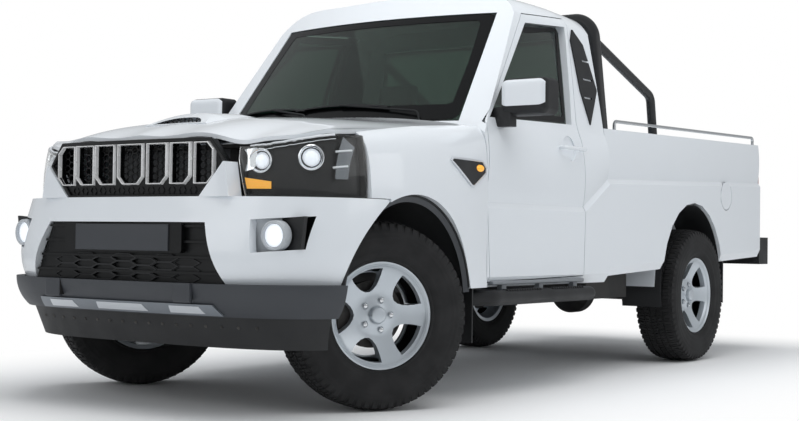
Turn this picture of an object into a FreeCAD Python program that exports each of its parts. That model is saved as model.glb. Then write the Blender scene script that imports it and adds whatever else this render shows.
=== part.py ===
import FreeCAD, Part
import math
import os
from types import SimpleNamespace

# Single-cab pickup truck. Millimetres, +Z up, the front faces -Y, +X is the vehicle's left.
# The origin is on the ground, half way between the two bumpers.
Vector = FreeCAD.Vector
doc = FreeCAD.newDocument("Pickup")

sizes = {
    "wheelbase": 3040,
    "front_overhang": 800,
    "rear_overhang": 1260,
    "front_half_track": 712,
    "rear_half_track": 716,
    "kingpin_x": 655,
    "steer_rest": 30,
    # wheels
    "tyre_radius": 387,
    "tyre_width": 248,
    "tyre_wall": 14,
    "bead_radius": 205,
    "bead_half_width": 94,
    "rim_lip_radius": 219,
    "rim_well_radius": 178,
    "rim_wall": 6,
    "disc_outset": 34,
    "disc_thickness": 22,
    "hub_radius": 74,
    "hub_length": 40,
    "cap_radius": 36,
    "window_inner": 84,
    "window_outer": 166,
    "spoke_count": 5,
    "nut_circle": 60,
    "nut_radius": 10,
    "nut_height": 14,
    # running gear
    "rail_half_gap": 320,
    "rail_width": 60,
    "rail_depth": 130,
    "rail_bottom": 450,
    "rail_kick": 115,
    "rail_front": -640,
    "rail_overhang": 980,
    "kick_start_ahead": 780,
    "kick_end_ahead": 480,
    "cross_tube_radius": 36,
    "tube_front": -600,
    "tube_mid": 1330,
    "tube_cab": 1950,
    "tube_axle": 340,
    "mount_front": 560,
    "mount_mid": 1150,
    "mount_rear": 1700,
    "subframe_half_width": 340,
    "subframe_length": 120,
    "subframe_bottom": 255,
    "subframe_height": 45,
    "drop_half": 140,
    "engine_mount": 50,
    "bracket_length": 150,
    "hook_half": 20,
    "hanger_half": 25,
    "hanger_height": 80,
    "engine_width": 460,
    "engine_length": 620,
    "engine_height": 500,
    "engine_bottom": 400,
    "engine_front": -230,
    "axle_tube_radius": 42,
    "diff_radius": 135,
    "spring_x": 520,
    "spring_width": 65,
    "spring_thickness": 36,
    "spring_half_length": 600,
    "spring_rise": 95,
    "spring_bed": 4,
    "disc_radius": 138,
    "disc_width": 24,
    "stub_radius": 30,
    "running_gap": 0.1,
    "seat_gap": 0.3,
    "ball_radius": 14,
    "tank_length": 480,
    "tank_width": 300,
    "tank_height": 210,
    "exhaust_radius": 27,
    "spare_radius": 345,
    "spare_width": 200,
    "spare_behind_axle": 520,
    "spare_drop": 20,
    "propshaft_radius": 38,
    # cab
    "cab_half_width": 862,
    "sill_bottom": 488,
    "sill_step": 45,
    "ledge_height": 868,
    "ledge_drop": 26,
    "ledge_depth": 17,
    "belt_height": 1252,
    "header_drop": 125,
    "roof_height": 1915,
    "cab_front": 480,
    "door_front": 620,
    "door_rear": 1540,
    "door_bottom": 512,
    "door_top_drop": 87,
    "cab_rear": 1822,
    "cab_wall": 62,
    "door_skin": 10,
    "door_step": 20,
    "hinge_width": 60,
    "hinge_height": 60,
    "hinge_inset": 30,
    "roof_wall": 36,
    "cab_floor": 600,
    "floor_thickness": 22,
    "scuttle_half_width": 770,
    "shut_gap": 5,
    "glass_thickness": 5,
    "handle_front": 1292,
    "handle_rear": 1498,
    "handle_height": 1152,
    "handle_reach": 24,
    "handle_radius": 9,
    "handle_bend": 14,
    "handle_dish": 62,
    "handle_dish_depth": 9,
    "wiper_radius": 5,
    "wiper_lift": 16,
    "wiper_arm_lift": 32,
    "wiper_knee": 80,
    "glass_inset": 6,
    "blade_rubber": 7,
    "lever_height": 190,
    "lever_radius": 7,
    "knob_radius": 19,
    "knob_height": 46,
    # front
    "nose_half_width": 905,
    "bumper_half_width": 893,
    "bumper_bottom": 392,
    "bumper_split": 520,
    "shelf_height": 853,
    "lamp_rise": 267,
    "bumper_wall": 32,
    "panel_wall": 24,
    "valance_bottom": 268,
    "grille_half_width": 495,
    "grille_front": 710,
    "grille_bow": 22,
    "grille_thickness": 25,
    "grille_rise": 224,
    "grille_shoulder": 134,
    "grille_foot": 370,
    "grille_top": 424,
    "slot_top": 209,
    "slot_foot": 53,
    "slot_chamfer": 28,
    "frame_depth": 14,
    "frame_width": 8,
    "frame_draft": 5,
    "plate_half_width": 330,
    "plate_bottom": 634,
    "plate_height": 114,
    "plate_front": 748,
    "plate_thickness": 12,
    "blade_height": 9,
    "blade_depth": 12,
    "skid_half_width": 485,
    "skid_bottom": 396,
    "skid_height": 44,
    "skid_proud": 9,
    "scoop_half_width": 190,
    "scoop_front": 470,
    "scoop_lip": 350,
    "scoop_rear": 40,
    "scoop_rise": 30,
    "scoop_wall": 9,
    "scoop_depth": 46,
    "front_arch_radius": 452,
    "bonnet_half_width": 800,
    "bonnet_front": -672,
    "bonnet_rear": 575,
    "bonnet_front_rise": 259,
    "bonnet_edge_rear": 1205,
    "bonnet_crown": 55,
    "bonnet_wall": 16,
    "bonnet_dip": 50,
    # load bed
    "bed_half_width": 822,
    "bed_gap": 24,
    "bed_overhang": 1020,
    "bed_wall": 60,
    "bed_floor": 770,
    "bed_floor_thickness": 25,
    "bed_top_front": 1285,
    "bed_top_rear": 1335,
    "bed_bottom": 515,
    "bed_bottom_rear": 610,
    "rear_arch_ahead": 45,
    "vent_proud": 7,
    "vent_slot": 10,
    "rear_arch_radius": 442,
    "rear_arch_rise": 485,
    "gate_thickness": 48,
    "gate_half_width": 700,
    "flap_radius": 84,
    "flap_thickness": 4,
    "flap_pin": 5.5,
    "flap_pin_inset": 1,
    "flap_behind_axle": 442,
    "flap_z": 985,
    "bumper_step": 36,
    "bar_radius": 36,
    "brace_radius": 25,
    "rail_rod_radius": 9,
    "radiator_width": 659,
    "radiator_depth": 40,
    "radiator_height": 440,
    "radiator_bottom": 610,
    "radiator_front": -480,
    "overrun": 20,
}

sheet = doc.addObject("Spreadsheet::Sheet", "Sizes")
for row, (name, value) in enumerate(sizes.items(), start=1):
    sheet.set(f"A{row}", name)
    sheet.set(f"B{row}", str(value))
    sheet.setAlias(f"B{row}", name)
doc.recompute()
v = SimpleNamespace(**{name: float(sheet.get(name)) for name in sizes})

# Stations measured rearwards from the front axle, and heights, that follow other sizes.
v.rail_rear = v.wheelbase + v.rail_overhang
v.kick_start = v.wheelbase - v.kick_start_ahead
v.kick_end = v.wheelbase - v.kick_end_ahead
v.header_height = v.roof_height - v.header_drop
v.door_top = v.roof_height - v.door_top_drop
v.lamp_top = v.shelf_height + v.lamp_rise
v.bonnet_edge_front = v.shelf_height + v.bonnet_front_rise
v.bed_front = v.cab_rear + v.bed_gap
v.bed_rear = v.wheelbase + v.bed_overhang
v.rear_arch_centre = v.wheelbase - v.rear_arch_ahead
v.flap_y = v.wheelbase + v.flap_behind_axle
v.spare_y = v.wheelbase + v.spare_behind_axle

front_axle_y = (v.front_overhang - v.wheelbase - v.rear_overhang) / 2
rear_axle_y = front_axle_y + v.wheelbase
FRONT_AXLE = "(Sizes.front_overhang - Sizes.wheelbase - Sizes.rear_overhang) / 2"
REAR_AXLE = "(Sizes.front_overhang + Sizes.wheelbase - Sizes.rear_overhang) / 2"
sides = {"left": 1, "right": -1}
parts = []


def at(y):
    """A station measured rearwards from the front axle, in the part's own frame."""
    return front_axle_y + y


def keep(obj, label):
    obj.Label = label
    parts.append(obj)
    return obj


def feature(label, shape):
    """A sub-part whose shape is worked out here from the sheet's sizes."""
    obj = doc.addObject("Part::Feature", label)
    obj.Shape = shape
    return keep(obj, label)


def bind(obj, **expressions):
    for prop, expression in expressions.items():
        obj.setExpression(prop.replace("_", "."), str(expression))
    return obj


def place(obj, x="0", y="0", z="0"):
    obj.setExpression("Placement.Base.x", str(x))
    obj.setExpression("Placement.Base.y", str(y))
    obj.setExpression("Placement.Base.z", str(z))
    return obj


def lerp(low, high, share):
    return low + (high - low) * share


def polygon(points):
    return Part.makePolygon(points + points[:1])


def side_prism(points, x_low, x_high):
    """An outline in the side view, given as (y, z), run from one x to another."""
    face = Part.Face(polygon([Vector(x_low, y, z) for y, z in points]))
    return face.extrude(Vector(x_high - x_low, 0, 0))


def front_prism(points, y_low, y_high):
    """An outline in the front view, given as (x, z), run from one y to another."""
    face = Part.Face(polygon([Vector(x, y_low, z) for x, z in points]))
    return face.extrude(Vector(0, y_high - y_low, 0))


def plan_prism(points, z_low, z_high):
    """An outline in plan, given as (x, y), run from one height to another."""
    face = Part.Face(polygon([Vector(x, y, z_low) for x, y in points]))
    return face.extrude(Vector(0, 0, z_high - z_low))


def block(x0, x1, y0, y1, z0, z1):
    return Part.makeBox(x1 - x0, y1 - y0, z1 - z0, Vector(x0, y0, z0))


def mirrored(shape):
    return shape.mirror(Vector(0, 0, 0), Vector(1, 0, 0))


def curve(points):
    """A line through two points or a smooth curve through more."""
    if len(points) == 2:
        return Part.LineSegment(points[0], points[1]).toShape()
    spline = Part.BSplineCurve()
    spline.interpolate(points)
    return spline.toShape()


def section(runs):
    """A closed wire of runs of points, each run starting where the last one ended."""
    return Part.Wire([curve(run) for run in runs])


def loft(wires, ruled=False):
    return Part.makeLoft(wires, True, ruled)


def skin(outer, inner):
    """A panel lofted through stations, each a row of points outside and a row inside."""
    wires = []
    for out, back in zip(outer, inner):
        runs = [out, [out[-1], back[-1]], list(reversed(back)), [back[0], out[0]]]
        wires.append(section(runs))
    return loft(wires, len(wires) == 2)


def tube(points, radius, bend):
    """A round bar along straight runs joined by tangent arcs."""
    edges = []
    start = points[0]
    for before, corner, after in zip(points, points[1:], points[2:]):
        to_before = (before - corner).normalize()
        to_after = (after - corner).normalize()
        half = to_before.getAngle(to_after) / 2
        reach = bend / math.tan(half)
        first = corner + to_before * reach
        last = corner + to_after * reach
        inward = (to_before + to_after).normalize()
        middle = corner + inward * (bend / math.sin(half) - bend)
        edges.append(Part.LineSegment(start, first).toShape())
        edges.append(Part.Arc(first, middle, last).toShape())
        start = last
    edges.append(Part.LineSegment(start, points[-1]).toShape())
    path = Part.Wire(edges)
    circle = Part.Wire(Part.makeCircle(radius, points[0], points[1] - points[0]))
    return path.makePipeShell([circle], True, False, 2)


# Wheels: built about their own centre with the spin axis along X, outer face towards +X.
def origin_plane(body, role):
    return next(f for f in body.Origin.OriginFeatures if f.Role == role)


def sketch_on(body, name, role, edges, closed=True):
    sketch = body.newObject("Sketcher::SketchObject", name)
    sketch.AttachmentSupport = [(origin_plane(body, role), "")]
    sketch.MapMode = "FlatFace"
    for edge in edges:
        sketch.addGeometry(edge, False)
    return sketch


def lines(points):
    pairs = zip(points, points[1:] + points[:1])
    return [Part.LineSegment(Vector(*a, 0), Vector(*b, 0)) for a, b in pairs]


def revolve(body, sketch, name):
    turned = body.newObject("PartDesign::Revolution", name)
    turned.Profile = sketch
    turned.ReferenceAxis = (sketch, ["H_Axis"])
    turned.Angle = 360
    return turned


def tyre_body(label):
    """Carcass of the tyre: outside and inside run parallel, bead to bead."""
    half = v.tyre_width / 2
    bead = v.bead_half_width
    wall = v.tyre_wall
    top = v.tyre_radius
    foot = v.bead_radius
    bulge = lerp(foot, top, 0.5)
    shoulder = lerp(foot, top, 0.88)
    tread = half - 2.2 * wall
    flange = v.rim_lip_radius + v.seat_gap
    seat = bead - v.rim_wall / 2 - v.seat_gap
    outer = [(seat, foot), (bead - v.seat_gap, flange), (half, bulge), (half - wall / 2, shoulder)]
    outer += [(tread, top), (0, top)]
    inner = [(0, top - wall), (tread, top - wall), (half - wall, bulge), (bead - wall, flange)]
    inner.append((seat - wall, foot))
    mirrored_outer = [(-x, r) for x, r in reversed(outer[:-1])]
    mirrored_inner = [(-x, r) for x, r in reversed(inner[1:])]
    body = doc.addObject("PartDesign::Body", label)
    runs = outer[:-1] + mirrored_outer + mirrored_inner + inner[1:]
    sketch = sketch_on(body, label + "_section", "XY_Plane", lines(runs))
    revolve(body, sketch, label + "_turned")
    return keep(body, label)


def rim_body(label):
    """Cast rim: lipped barrel, dished disc with five windows, hub with bore, cap and nuts."""
    bead = v.bead_half_width
    lip = v.rim_lip_radius
    seat = v.bead_radius - v.seat_gap
    well = v.rim_well_radius
    wall = v.rim_wall
    face = v.disc_outset
    back = face - v.disc_thickness
    section_points = [
        (face + v.disc_thickness / 2, v.cap_radius),
        (face + v.disc_thickness / 2, v.hub_radius),
        (face, v.hub_radius + wall),
        (face + wall, well - wall),
        (bead - wall, seat - wall),
        (bead + wall / 2, seat),
        (bead + wall, lip),
        (bead, lip),
        (bead - wall / 2, seat),
        (face + v.disc_thickness, seat),
        (face, well),
        (-bead / 2, well),
        (3 * wall - bead, seat),
        (wall / 2 - bead, seat),
        (-bead, lip),
        (-bead - wall, lip),
        (-bead, seat - wall),
        (-bead / 2, well - wall),
        (back, well - wall),
        (back, v.hub_radius),
        (face - v.hub_length, v.hub_radius),
        (face - v.hub_length, v.stub_radius + v.running_gap),
        (face - wall, v.stub_radius + v.running_gap),
        (face - wall, 0),
        (face + 1.4 * v.disc_thickness, 0),
        (face + 1.4 * v.disc_thickness, v.cap_radius - wall),
        (face + v.disc_thickness, v.cap_radius),
    ]
    body = doc.addObject("PartDesign::Body", label)
    sketch = sketch_on(body, label + "_section", "XY_Plane", lines(section_points))
    revolve(body, sketch, label + "_turned")
    half_angle = math.radians(21)
    inner, outer = v.window_inner, v.window_outer
    corners = [
        (inner * math.cos(a), inner * math.sin(a)) for a in (-half_angle * 0.55, half_angle * 0.55)
    ]
    corners += [
        (outer * 0.93 * math.cos(half_angle * 1.1), outer * 0.93 * math.sin(half_angle * 1.1)),
        (outer * math.cos(half_angle * 0.8), outer * math.sin(half_angle * 0.8)),
        (outer * math.cos(half_angle * 0.8), -outer * math.sin(half_angle * 0.8)),
        (outer * 0.93 * math.cos(half_angle * 1.1), -outer * 0.93 * math.sin(half_angle * 1.1)),
    ]
    window = sketch_on(body, label + "_window", "YZ_Plane", lines(corners))
    doc.recompute()
    pocket = body.newObject("PartDesign::Pocket", label + "_windows")
    pocket.Profile = window
    pocket.Type = "ThroughAll"
    pocket.Midplane = True
    doc.recompute()
    pattern = body.newObject("PartDesign::PolarPattern", label + "_spokes")
    pattern.Originals = [pocket]
    pattern.Axis = (window, ["N_Axis"])
    pattern.Angle = 360
    pattern.setExpression("Occurrences", "Sizes.spoke_count")
    body.Tip = pattern
    doc.recompute()
    spoke = math.pi / v.spoke_count
    middle = v.nut_circle * math.cos(spoke), v.nut_circle * math.sin(spoke)
    hexagon = []
    for corner in range(6):
        angle = spoke + math.radians(60 * corner)
        hexagon.append((middle[0] + v.nut_radius * math.cos(angle), middle[1] + v.nut_radius * math.sin(angle)))
    nut_sketch = sketch_on(body, label + "_nut_outline", "YZ_Plane", lines(hexagon))
    nut_sketch.AttachmentOffset = FreeCAD.Placement(Vector(0, 0, face), FreeCAD.Rotation())
    doc.recompute()
    nut = body.newObject("PartDesign::Pad", label + "_nut")
    nut.Profile = nut_sketch
    nut.setExpression("Length", "Sizes.disc_thickness / 2 + Sizes.nut_height")
    doc.recompute()
    nuts = body.newObject("PartDesign::PolarPattern", label + "_nuts")
    nuts.Originals = [nut]
    nuts.Axis = (nut_sketch, ["N_Axis"])
    nuts.Angle = 360
    nuts.setExpression("Occurrences", "Sizes.spoke_count")
    body.Tip = nuts
    return keep(body, label)


def wheel(name, side, x, y, steered):
    angle = 0 if side > 0 else 180
    turn = FreeCAD.Rotation(Vector(0, 0, 1), angle)
    centre = Vector(side * x, y, v.tyre_radius)
    placement = FreeCAD.Placement(centre, turn)
    if steered:
        pivot = Vector(side * v.kingpin_x, y, 0)
        swing = FreeCAD.Rotation(Vector(0, 0, 1), -v.steer_rest)
        placement = FreeCAD.Placement(Vector(0, 0, 0), swing, pivot) * placement
    for body in (tyre_body("tyre_" + name), rim_body("rim_" + name)):
        body.Placement = placement


for side_name, side in sides.items():
    wheel("front_" + side_name, side, v.front_half_track, front_axle_y, True)
    wheel("rear_" + side_name, side, v.rear_half_track, rear_axle_y, False)


def swung(shape, side):
    """A steered piece turned about its kingpin to the stored angle."""
    turned = shape.copy()
    pivot = Vector(side * v.kingpin_x, front_axle_y, 0)
    turned.rotate(pivot, Vector(0, 0, 1), -v.steer_rest)
    return turned


def knuckle(side):
    """Upright with its kingpin stubs, the stub axle, the brake disc and the caliper."""
    hub_x = v.front_half_track + v.disc_outset - v.hub_length
    centre = Vector(side * v.kingpin_x, front_axle_y, v.tyre_radius)
    outward = Vector(side, 0, 0)
    shaft_length = v.hub_length + hub_x - v.kingpin_x - v.rim_wall - v.shut_gap
    shaft = Part.makeCylinder(v.stub_radius, shaft_length, centre, outward)
    upright = block(-v.ball_radius, v.ball_radius, -40, 40, -104, 104)
    upright.translate(centre)
    disc_face = hub_x - v.shut_gap - v.disc_width
    disc = Part.makeCylinder(
        v.disc_radius, v.disc_width, Vector(side * disc_face, front_axle_y, v.tyre_radius), outward
    )
    caliper = block(4 - v.disc_width, v.disc_width - 6, -150, -82, -68, 68)
    caliper.translate(Vector(side * (disc_face + v.disc_width / 2), front_axle_y, v.tyre_radius))
    pin = Part.makeCylinder(v.ball_radius - v.running_gap, 250, centre - Vector(0, 0, 125))
    return swung(shaft.multiFuse([upright, disc, caliper, pin]).removeSplitter(), side)


for side_name, side in sides.items():
    feature("knuckle_" + side_name, knuckle(side))


# Front end: plan outline shares give each height's half outline from the nose to the arch.
nose_shares = [(0.0, 0.0), (0.5, 0.036), (0.76, 0.17), (0.95, 0.47), (1.0, 1.0)]


def nose_outline(z, front, half, back, inset):
    """Half outlines of the nose at a height, mirrored into one list from right to left."""
    points = []
    for a, b in nose_shares:
        x = half * a
        y = lerp(front, back, b)
        shrink = inset * a
        points.append(Vector(x - shrink, at(y + inset * (1 - b)), z))
    return [Vector(-p.x, p.y, p.z) for p in reversed(points[1:])] + points


def nose_solid(stations, wall):
    outer = [nose_outline(z, front, half, back, 0) for z, front, half, back in stations]
    inner = [nose_outline(z, front, half, back, wall) for z, front, half, back in stations]
    return skin(outer, inner)


arch = Part.makeCylinder(v.front_arch_radius, 2400, Vector(-1200, front_axle_y, v.tyre_radius + 40), Vector(1, 0, 0))
bumper_stations = [
    (v.bumper_split, -775, 880, -180),
    (lerp(v.bumper_split, v.shelf_height, 0.35), -v.front_overhang, 893, -180),
    (lerp(v.bumper_split, v.shelf_height, 0.7), -765, 898, -180),
    (v.shelf_height, -725, 893, -180),
]
lower_stations = [
    (v.bumper_bottom, -720, 862, -300),
    (lerp(v.bumper_bottom, v.bumper_split, 0.5), -775, 888, -300),
    (v.bumper_split - v.seat_gap, -795, 890, -300),
]
bumper_lower_shape = nose_solid(lower_stations, v.bumper_wall).cut(arch)


# Chassis
def chassis_frame():
    """Two kicked-up rails with what is fixed to them: cross tubes, mounts, subframe and hangers."""
    bottom, depth = v.rail_bottom, v.rail_depth
    kick = v.rail_kick
    outline = [
        (at(v.rail_front), bottom),
        (at(v.kick_start), bottom),
        (at(v.kick_end), bottom + kick),
        (at(v.rail_rear), bottom + kick),
        (at(v.rail_rear), bottom + kick + depth),
        (at(v.kick_end) - 0.3 * depth, bottom + kick + depth),
        (at(v.kick_start) - 0.3 * depth, bottom + depth),
        (at(v.rail_front), bottom + depth),
    ]
    rail = side_prism(outline, v.rail_half_gap, v.rail_half_gap + v.rail_width)
    pieces = [rail, mirrored(rail)]
    inner = v.rail_half_gap - v.seat_gap
    outer = v.rail_half_gap + v.rail_width
    middle = v.rail_half_gap + v.rail_width / 2
    tubes = [(station, 0) for station in (v.tube_front, v.tube_mid, v.tube_cab)]
    tubes += [(station, kick) for station in (v.wheelbase - v.tube_axle, v.spare_y, v.rail_rear - v.rail_width)]
    for station, lift in tubes:
        start = Vector(-inner, at(station), bottom + lift + depth - v.cross_tube_radius)
        pieces.append(Part.makeCylinder(v.cross_tube_radius, 2 * inner, start, Vector(1, 0, 0)))
    for station in (v.mount_front, v.mount_mid, v.mount_rear):
        for side in (1, -1):
            foot = Vector(side * middle, at(station), bottom + depth + v.seat_gap)
            height = v.cab_floor - bottom - depth - 2 * v.seat_gap
            pieces.append(Part.makeCylinder(v.cross_tube_radius, height, foot))
    low, high = v.subframe_bottom, v.subframe_bottom + v.subframe_height
    reach, half = v.subframe_half_width, v.subframe_length / 2
    beam_end = reach - v.seat_gap
    pieces.append(block(-beam_end, beam_end, front_axle_y - half, front_axle_y + half, low, high))
    for side in (1, -1):
        x0, x1 = sorted((side * reach, side * outer))
        pieces.append(block(x0, x1, front_axle_y - v.drop_half, front_axle_y + v.drop_half, low, bottom - v.seat_gap))
        x0, x1 = sorted((side * (v.engine_width / 2 + v.seat_gap), side * inner))
        foot = bottom + v.overrun
        pieces.append(block(x0, x1, at(v.overrun), at(v.overrun) + v.rail_width, foot, foot + v.engine_mount))
        x0, x1 = sorted((side * v.rail_half_gap, side * outer))
        bracket = block(x0, x1, at(v.rail_front - v.bracket_length), at(v.rail_front) - v.seat_gap, bottom + 5, bottom + 65)
        pieces.append(bracket.cut(bumper_lower_shape))
    top_of_spare = v.rail_bottom + kick - v.spare_drop
    under_tube = bottom + kick + depth - 2 * v.cross_tube_radius - v.seat_gap
    hook = v.hook_half
    y = at(v.spare_y)
    pieces.append(block(-hook, hook, y - hook, y + hook, top_of_spare + v.seat_gap, under_tube))
    spring_top = v.tyre_radius + v.axle_tube_radius - v.spring_bed + v.spring_rise + v.spring_thickness
    for y in (rear_axle_y - v.spring_half_length, rear_axle_y + v.spring_half_length):
        for side in (1, -1):
            x0, x1 = sorted((side * (outer + v.seat_gap), side * (v.spring_x + v.spring_width / 2)))
            top = bottom + kick + v.hanger_height
            pieces.append(block(x0, x1, y - v.hanger_half, y + v.hanger_half, spring_top + v.seat_gap, top))
    return Part.Compound(pieces)


feature("chassis_frame", chassis_frame())

engine = doc.addObject("Part::Box", "engine_block")
bind(engine, Length="Sizes.engine_width", Width="Sizes.engine_length", Height="Sizes.engine_height")
place(engine, "-Sizes.engine_width / 2", FRONT_AXLE + " + Sizes.engine_front", "Sizes.engine_bottom")
keep(engine, "engine_block")


def driveline():
    """Gearbox, transfer case, front differential with its shafts, and the propeller shafts."""
    z = v.rail_bottom + 5
    start = v.engine_front + v.engine_length + v.seat_gap
    gearbox = Part.makeCone(135, 85, 640, Vector(0, at(start), z), Vector(0, 1, 0))
    case = block(-70, 190, at(start + 600), at(start + 820), z - 90, z + 70)
    shaft_start = start + 780
    end = v.wheelbase - v.diff_radius - v.seat_gap
    slope = (z - v.tyre_radius) / (end - shaft_start)
    first = Vector(0, at(shaft_start), z)
    last = Vector(0, at(end - v.propshaft_radius * slope), v.tyre_radius)
    rear_shaft = Part.makeCylinder(v.propshaft_radius, (last - first).Length, first, last - first)
    return gearbox.multiFuse([case, rear_shaft]).removeSplitter()


feature("driveline", driveline())


def front_suspension():
    """Lower and upper arms, each a flat wishbone with an eye round the kingpin, and the struts."""
    arms = []
    for side in (1, -1):
        inner = side * (v.rail_half_gap + v.rail_width + v.seat_gap)
        tip = side * v.kingpin_x
        for z in (v.tyre_radius - 125, v.tyre_radius + 107):
            outline = [
                (inner, front_axle_y - 130),
                (tip, front_axle_y - 20),
                (tip, front_axle_y + 20),
                (inner, front_axle_y + 130),
            ]
            arm = plan_prism(outline, z, z + 18)
            eye = Part.makeCylinder(20, 18, Vector(tip, front_axle_y, z))
            bore = Part.makeCylinder(v.ball_radius, 60, Vector(tip, front_axle_y, z - 20))
            arms.append(arm.fuse(eye).cut(bore))
    return Part.Compound(arms)


feature("front_suspension", front_suspension())


def rear_axle():
    """Axle tube, differential, two leaf springs clamped on top and the stub shafts in the hubs."""
    hub_x = v.rear_half_track + v.disc_outset - v.hub_length
    centre = Vector(0, rear_axle_y, v.tyre_radius)
    length = 2 * (hub_x - v.shut_gap)
    tube_start = centre - Vector(length / 2, 0, 0)
    pieces = [Part.makeCylinder(v.axle_tube_radius, length, tube_start, Vector(1, 0, 0))]
    reach = 2 * (hub_x + v.hub_length - v.rim_wall - v.shut_gap)
    pieces.append(Part.makeCylinder(v.stub_radius, reach, centre - Vector(reach / 2, 0, 0), Vector(1, 0, 0)))
    drum = v.diff_radius * 0.3
    rearwards = Vector(0, 1, 0)
    pieces.append(Part.makeCylinder(v.diff_radius, 2 * drum, centre - rearwards * drum, rearwards))
    nose = v.diff_radius - drum
    pieces.append(Part.makeCone(v.diff_radius, v.axle_tube_radius, nose, centre - rearwards * drum, -rearwards))
    pieces.append(Part.makeCone(v.diff_radius, 0.7 * v.diff_radius, drum, centre + rearwards * drum, rearwards))
    for side in (1, -1):
        disc = Vector(side * (hub_x - v.shut_gap - v.disc_width), rear_axle_y, v.tyre_radius)
        pieces.append(Part.makeCylinder(v.disc_radius, v.disc_width, disc, Vector(side, 0, 0)))
        low = v.tyre_radius + v.axle_tube_radius - v.spring_bed
        half = v.spring_half_length
        top = [Vector(0, rear_axle_y + s * half, low + v.spring_rise * s * s) for s in (-1, -0.5, 0, 0.5, 1)]
        bottom = [p + Vector(0, 0, v.spring_thickness) for p in reversed(top)]
        runs = [top, [top[-1], bottom[0]], bottom, [bottom[-1], top[0]]]
        strip = Part.Face(section(runs)).extrude(Vector(v.spring_width, 0, 0))
        strip.translate(Vector(side * v.spring_x - v.spring_width / 2, 0, 0))
        pieces.append(strip)
    return pieces[0].multiFuse(pieces[1:]).removeSplitter()


feature("rear_axle", rear_axle())

tank = doc.addObject("Part::Box", "fuel_tank")
bind(tank, Length="Sizes.tank_width", Width="Sizes.tank_length", Height="Sizes.tank_height")
place(
    tank,
    "Sizes.rail_half_gap + Sizes.rail_width + Sizes.seat_gap",
    FRONT_AXLE + " + Sizes.cab_rear + Sizes.bed_gap + 60",
    "Sizes.rail_bottom - 60",
)
keep(tank, "fuel_tank")


def exhaust():
    x = -(v.rail_half_gap + v.rail_width + 100)
    z = v.rail_bottom - 40
    route = [Vector(-175, at(480), z), Vector(-175, at(700), z), Vector(x, at(1150), z), Vector(x, at(2350), z)]
    pipe = tube(route, v.exhaust_radius, 3 * v.exhaust_radius)
    box = Part.makeCylinder(82, 450, Vector(x, at(1420), z), Vector(0, 1, 0))
    hangers = []
    for y in (1500, 2200):
        hangers.append(block(x, -(v.rail_half_gap + v.rail_width + v.seat_gap), at(y) - 12, at(y) + 12, z + 15, z + 60))
    return pipe.multiFuse([box] + hangers)


feature("exhaust", exhaust())


def spare_wheel():
    centre = Vector(0, at(v.spare_y), v.rail_bottom + v.rail_kick - v.spare_width - v.spare_drop)
    outer, half = v.spare_radius, v.spare_width / 2
    tread = Part.makeCylinder(outer, 2 * half * 0.6, centre + Vector(0, 0, 0.4 * half))
    cone = Part.makeCone(outer * 0.94, outer, 0.4 * half, centre)
    top = Part.makeCone(outer, outer * 0.94, 0.4 * half, centre + Vector(0, 0, 1.6 * half))
    dish = Part.makeCylinder(outer * 0.55, half, centre + Vector(0, 0, -1))
    return tread.multiFuse([cone, top]).cut(dish).removeSplitter()


feature("spare_wheel", spare_wheel())


# Cab
side_shares = {
    "sill": 0.966,
    "ledge_top": 0.981,
    "door_mid": 0.997,
    "belt": 0.955,
    "header": 0.838,
    "rail": 0.755,
    "roof": 0.42,
}


def cab_section(y, width_share, roof, ledge, inset, lift):
    """One cross-section of the cab: sill, lower panel, ledge, upper panel, greenhouse, roof."""
    half = v.cab_half_width * width_share
    drop = v.header_height - v.roof_height

    def point(share, z, x_sign=1):
        return Vector(x_sign * (half * share - inset), at(y), z)

    def half_runs(sign):
        low = v.sill_bottom + lift
        sill = point(side_shares["sill"], low, sign)
        low_panel = point(1, low + v.sill_step, sign)
        ledge_low = point(1, ledge - v.ledge_drop, sign)
        ledge_top = point(side_shares["ledge_top"], ledge, sign)
        mid = point(side_shares["door_mid"], lerp(ledge, v.belt_height, 0.4), sign)
        belt = point(side_shares["belt"], v.belt_height, sign)
        head = roof + drop
        header = point(side_shares["header"], head, sign)
        between = point(lerp(side_shares["belt"], side_shares["header"], 0.47), lerp(v.belt_height, head, 0.5), sign)
        return [
            [sill, low_panel],
            [low_panel, ledge_low],
            [ledge_low, ledge_top],
            [ledge_top, mid, belt],
            [belt, between, header],
        ]

    def roof_side(sign):
        head = roof + drop
        return [
            point(side_shares["header"], head, sign),
            point(side_shares["rail"], lerp(head, roof, 0.6), sign),
            point(side_shares["roof"], lerp(head, roof, 0.93), sign),
        ]

    left = half_runs(1)
    right = [list(reversed(run)) for run in reversed(half_runs(-1))]
    across = roof_side(1) + [Vector(0, at(y), roof)] + list(reversed(roof_side(-1)))
    bottom = [right[-1][-1], left[0][0]]
    return section([bottom] + left + [across] + right)


def cab_block(inset, top, lift, start, end):
    """The cab as a solid, or its inside when inset from every panel."""
    step = v.door_rear + v.shut_gap
    front = [
        cab_section(start, 0.992, v.roof_height - 55 - top, v.ledge_height, inset, lift),
        cab_section(lerp(start, step, 0.6), 1, v.roof_height - 4 - top, v.ledge_height, inset, lift),
        cab_section(step, 1, v.roof_height - top, v.ledge_height, inset, lift),
    ]
    rear = [
        cab_section(step, 1, v.roof_height - top, v.ledge_height, inset, lift),
        cab_section(end, 0.994, v.roof_height - 12 - top, v.ledge_height + 150, inset, lift),
    ]
    return loft(front).fuse(loft(rear, True)).removeSplitter()


def screen_y(x, z):
    """The windscreen's outer face: bowed in plan and leaning back."""
    bow = 125 * (x / 760) ** 2
    lean = (z - 1220) * 0.79
    return at(500 + bow + lean)


def screen_grid(shift, x_shares, heights):
    return [[Vector(s * 1000, screen_y(s * 1000, z) + shift, z) for z in heights] for s in x_shares]


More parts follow.
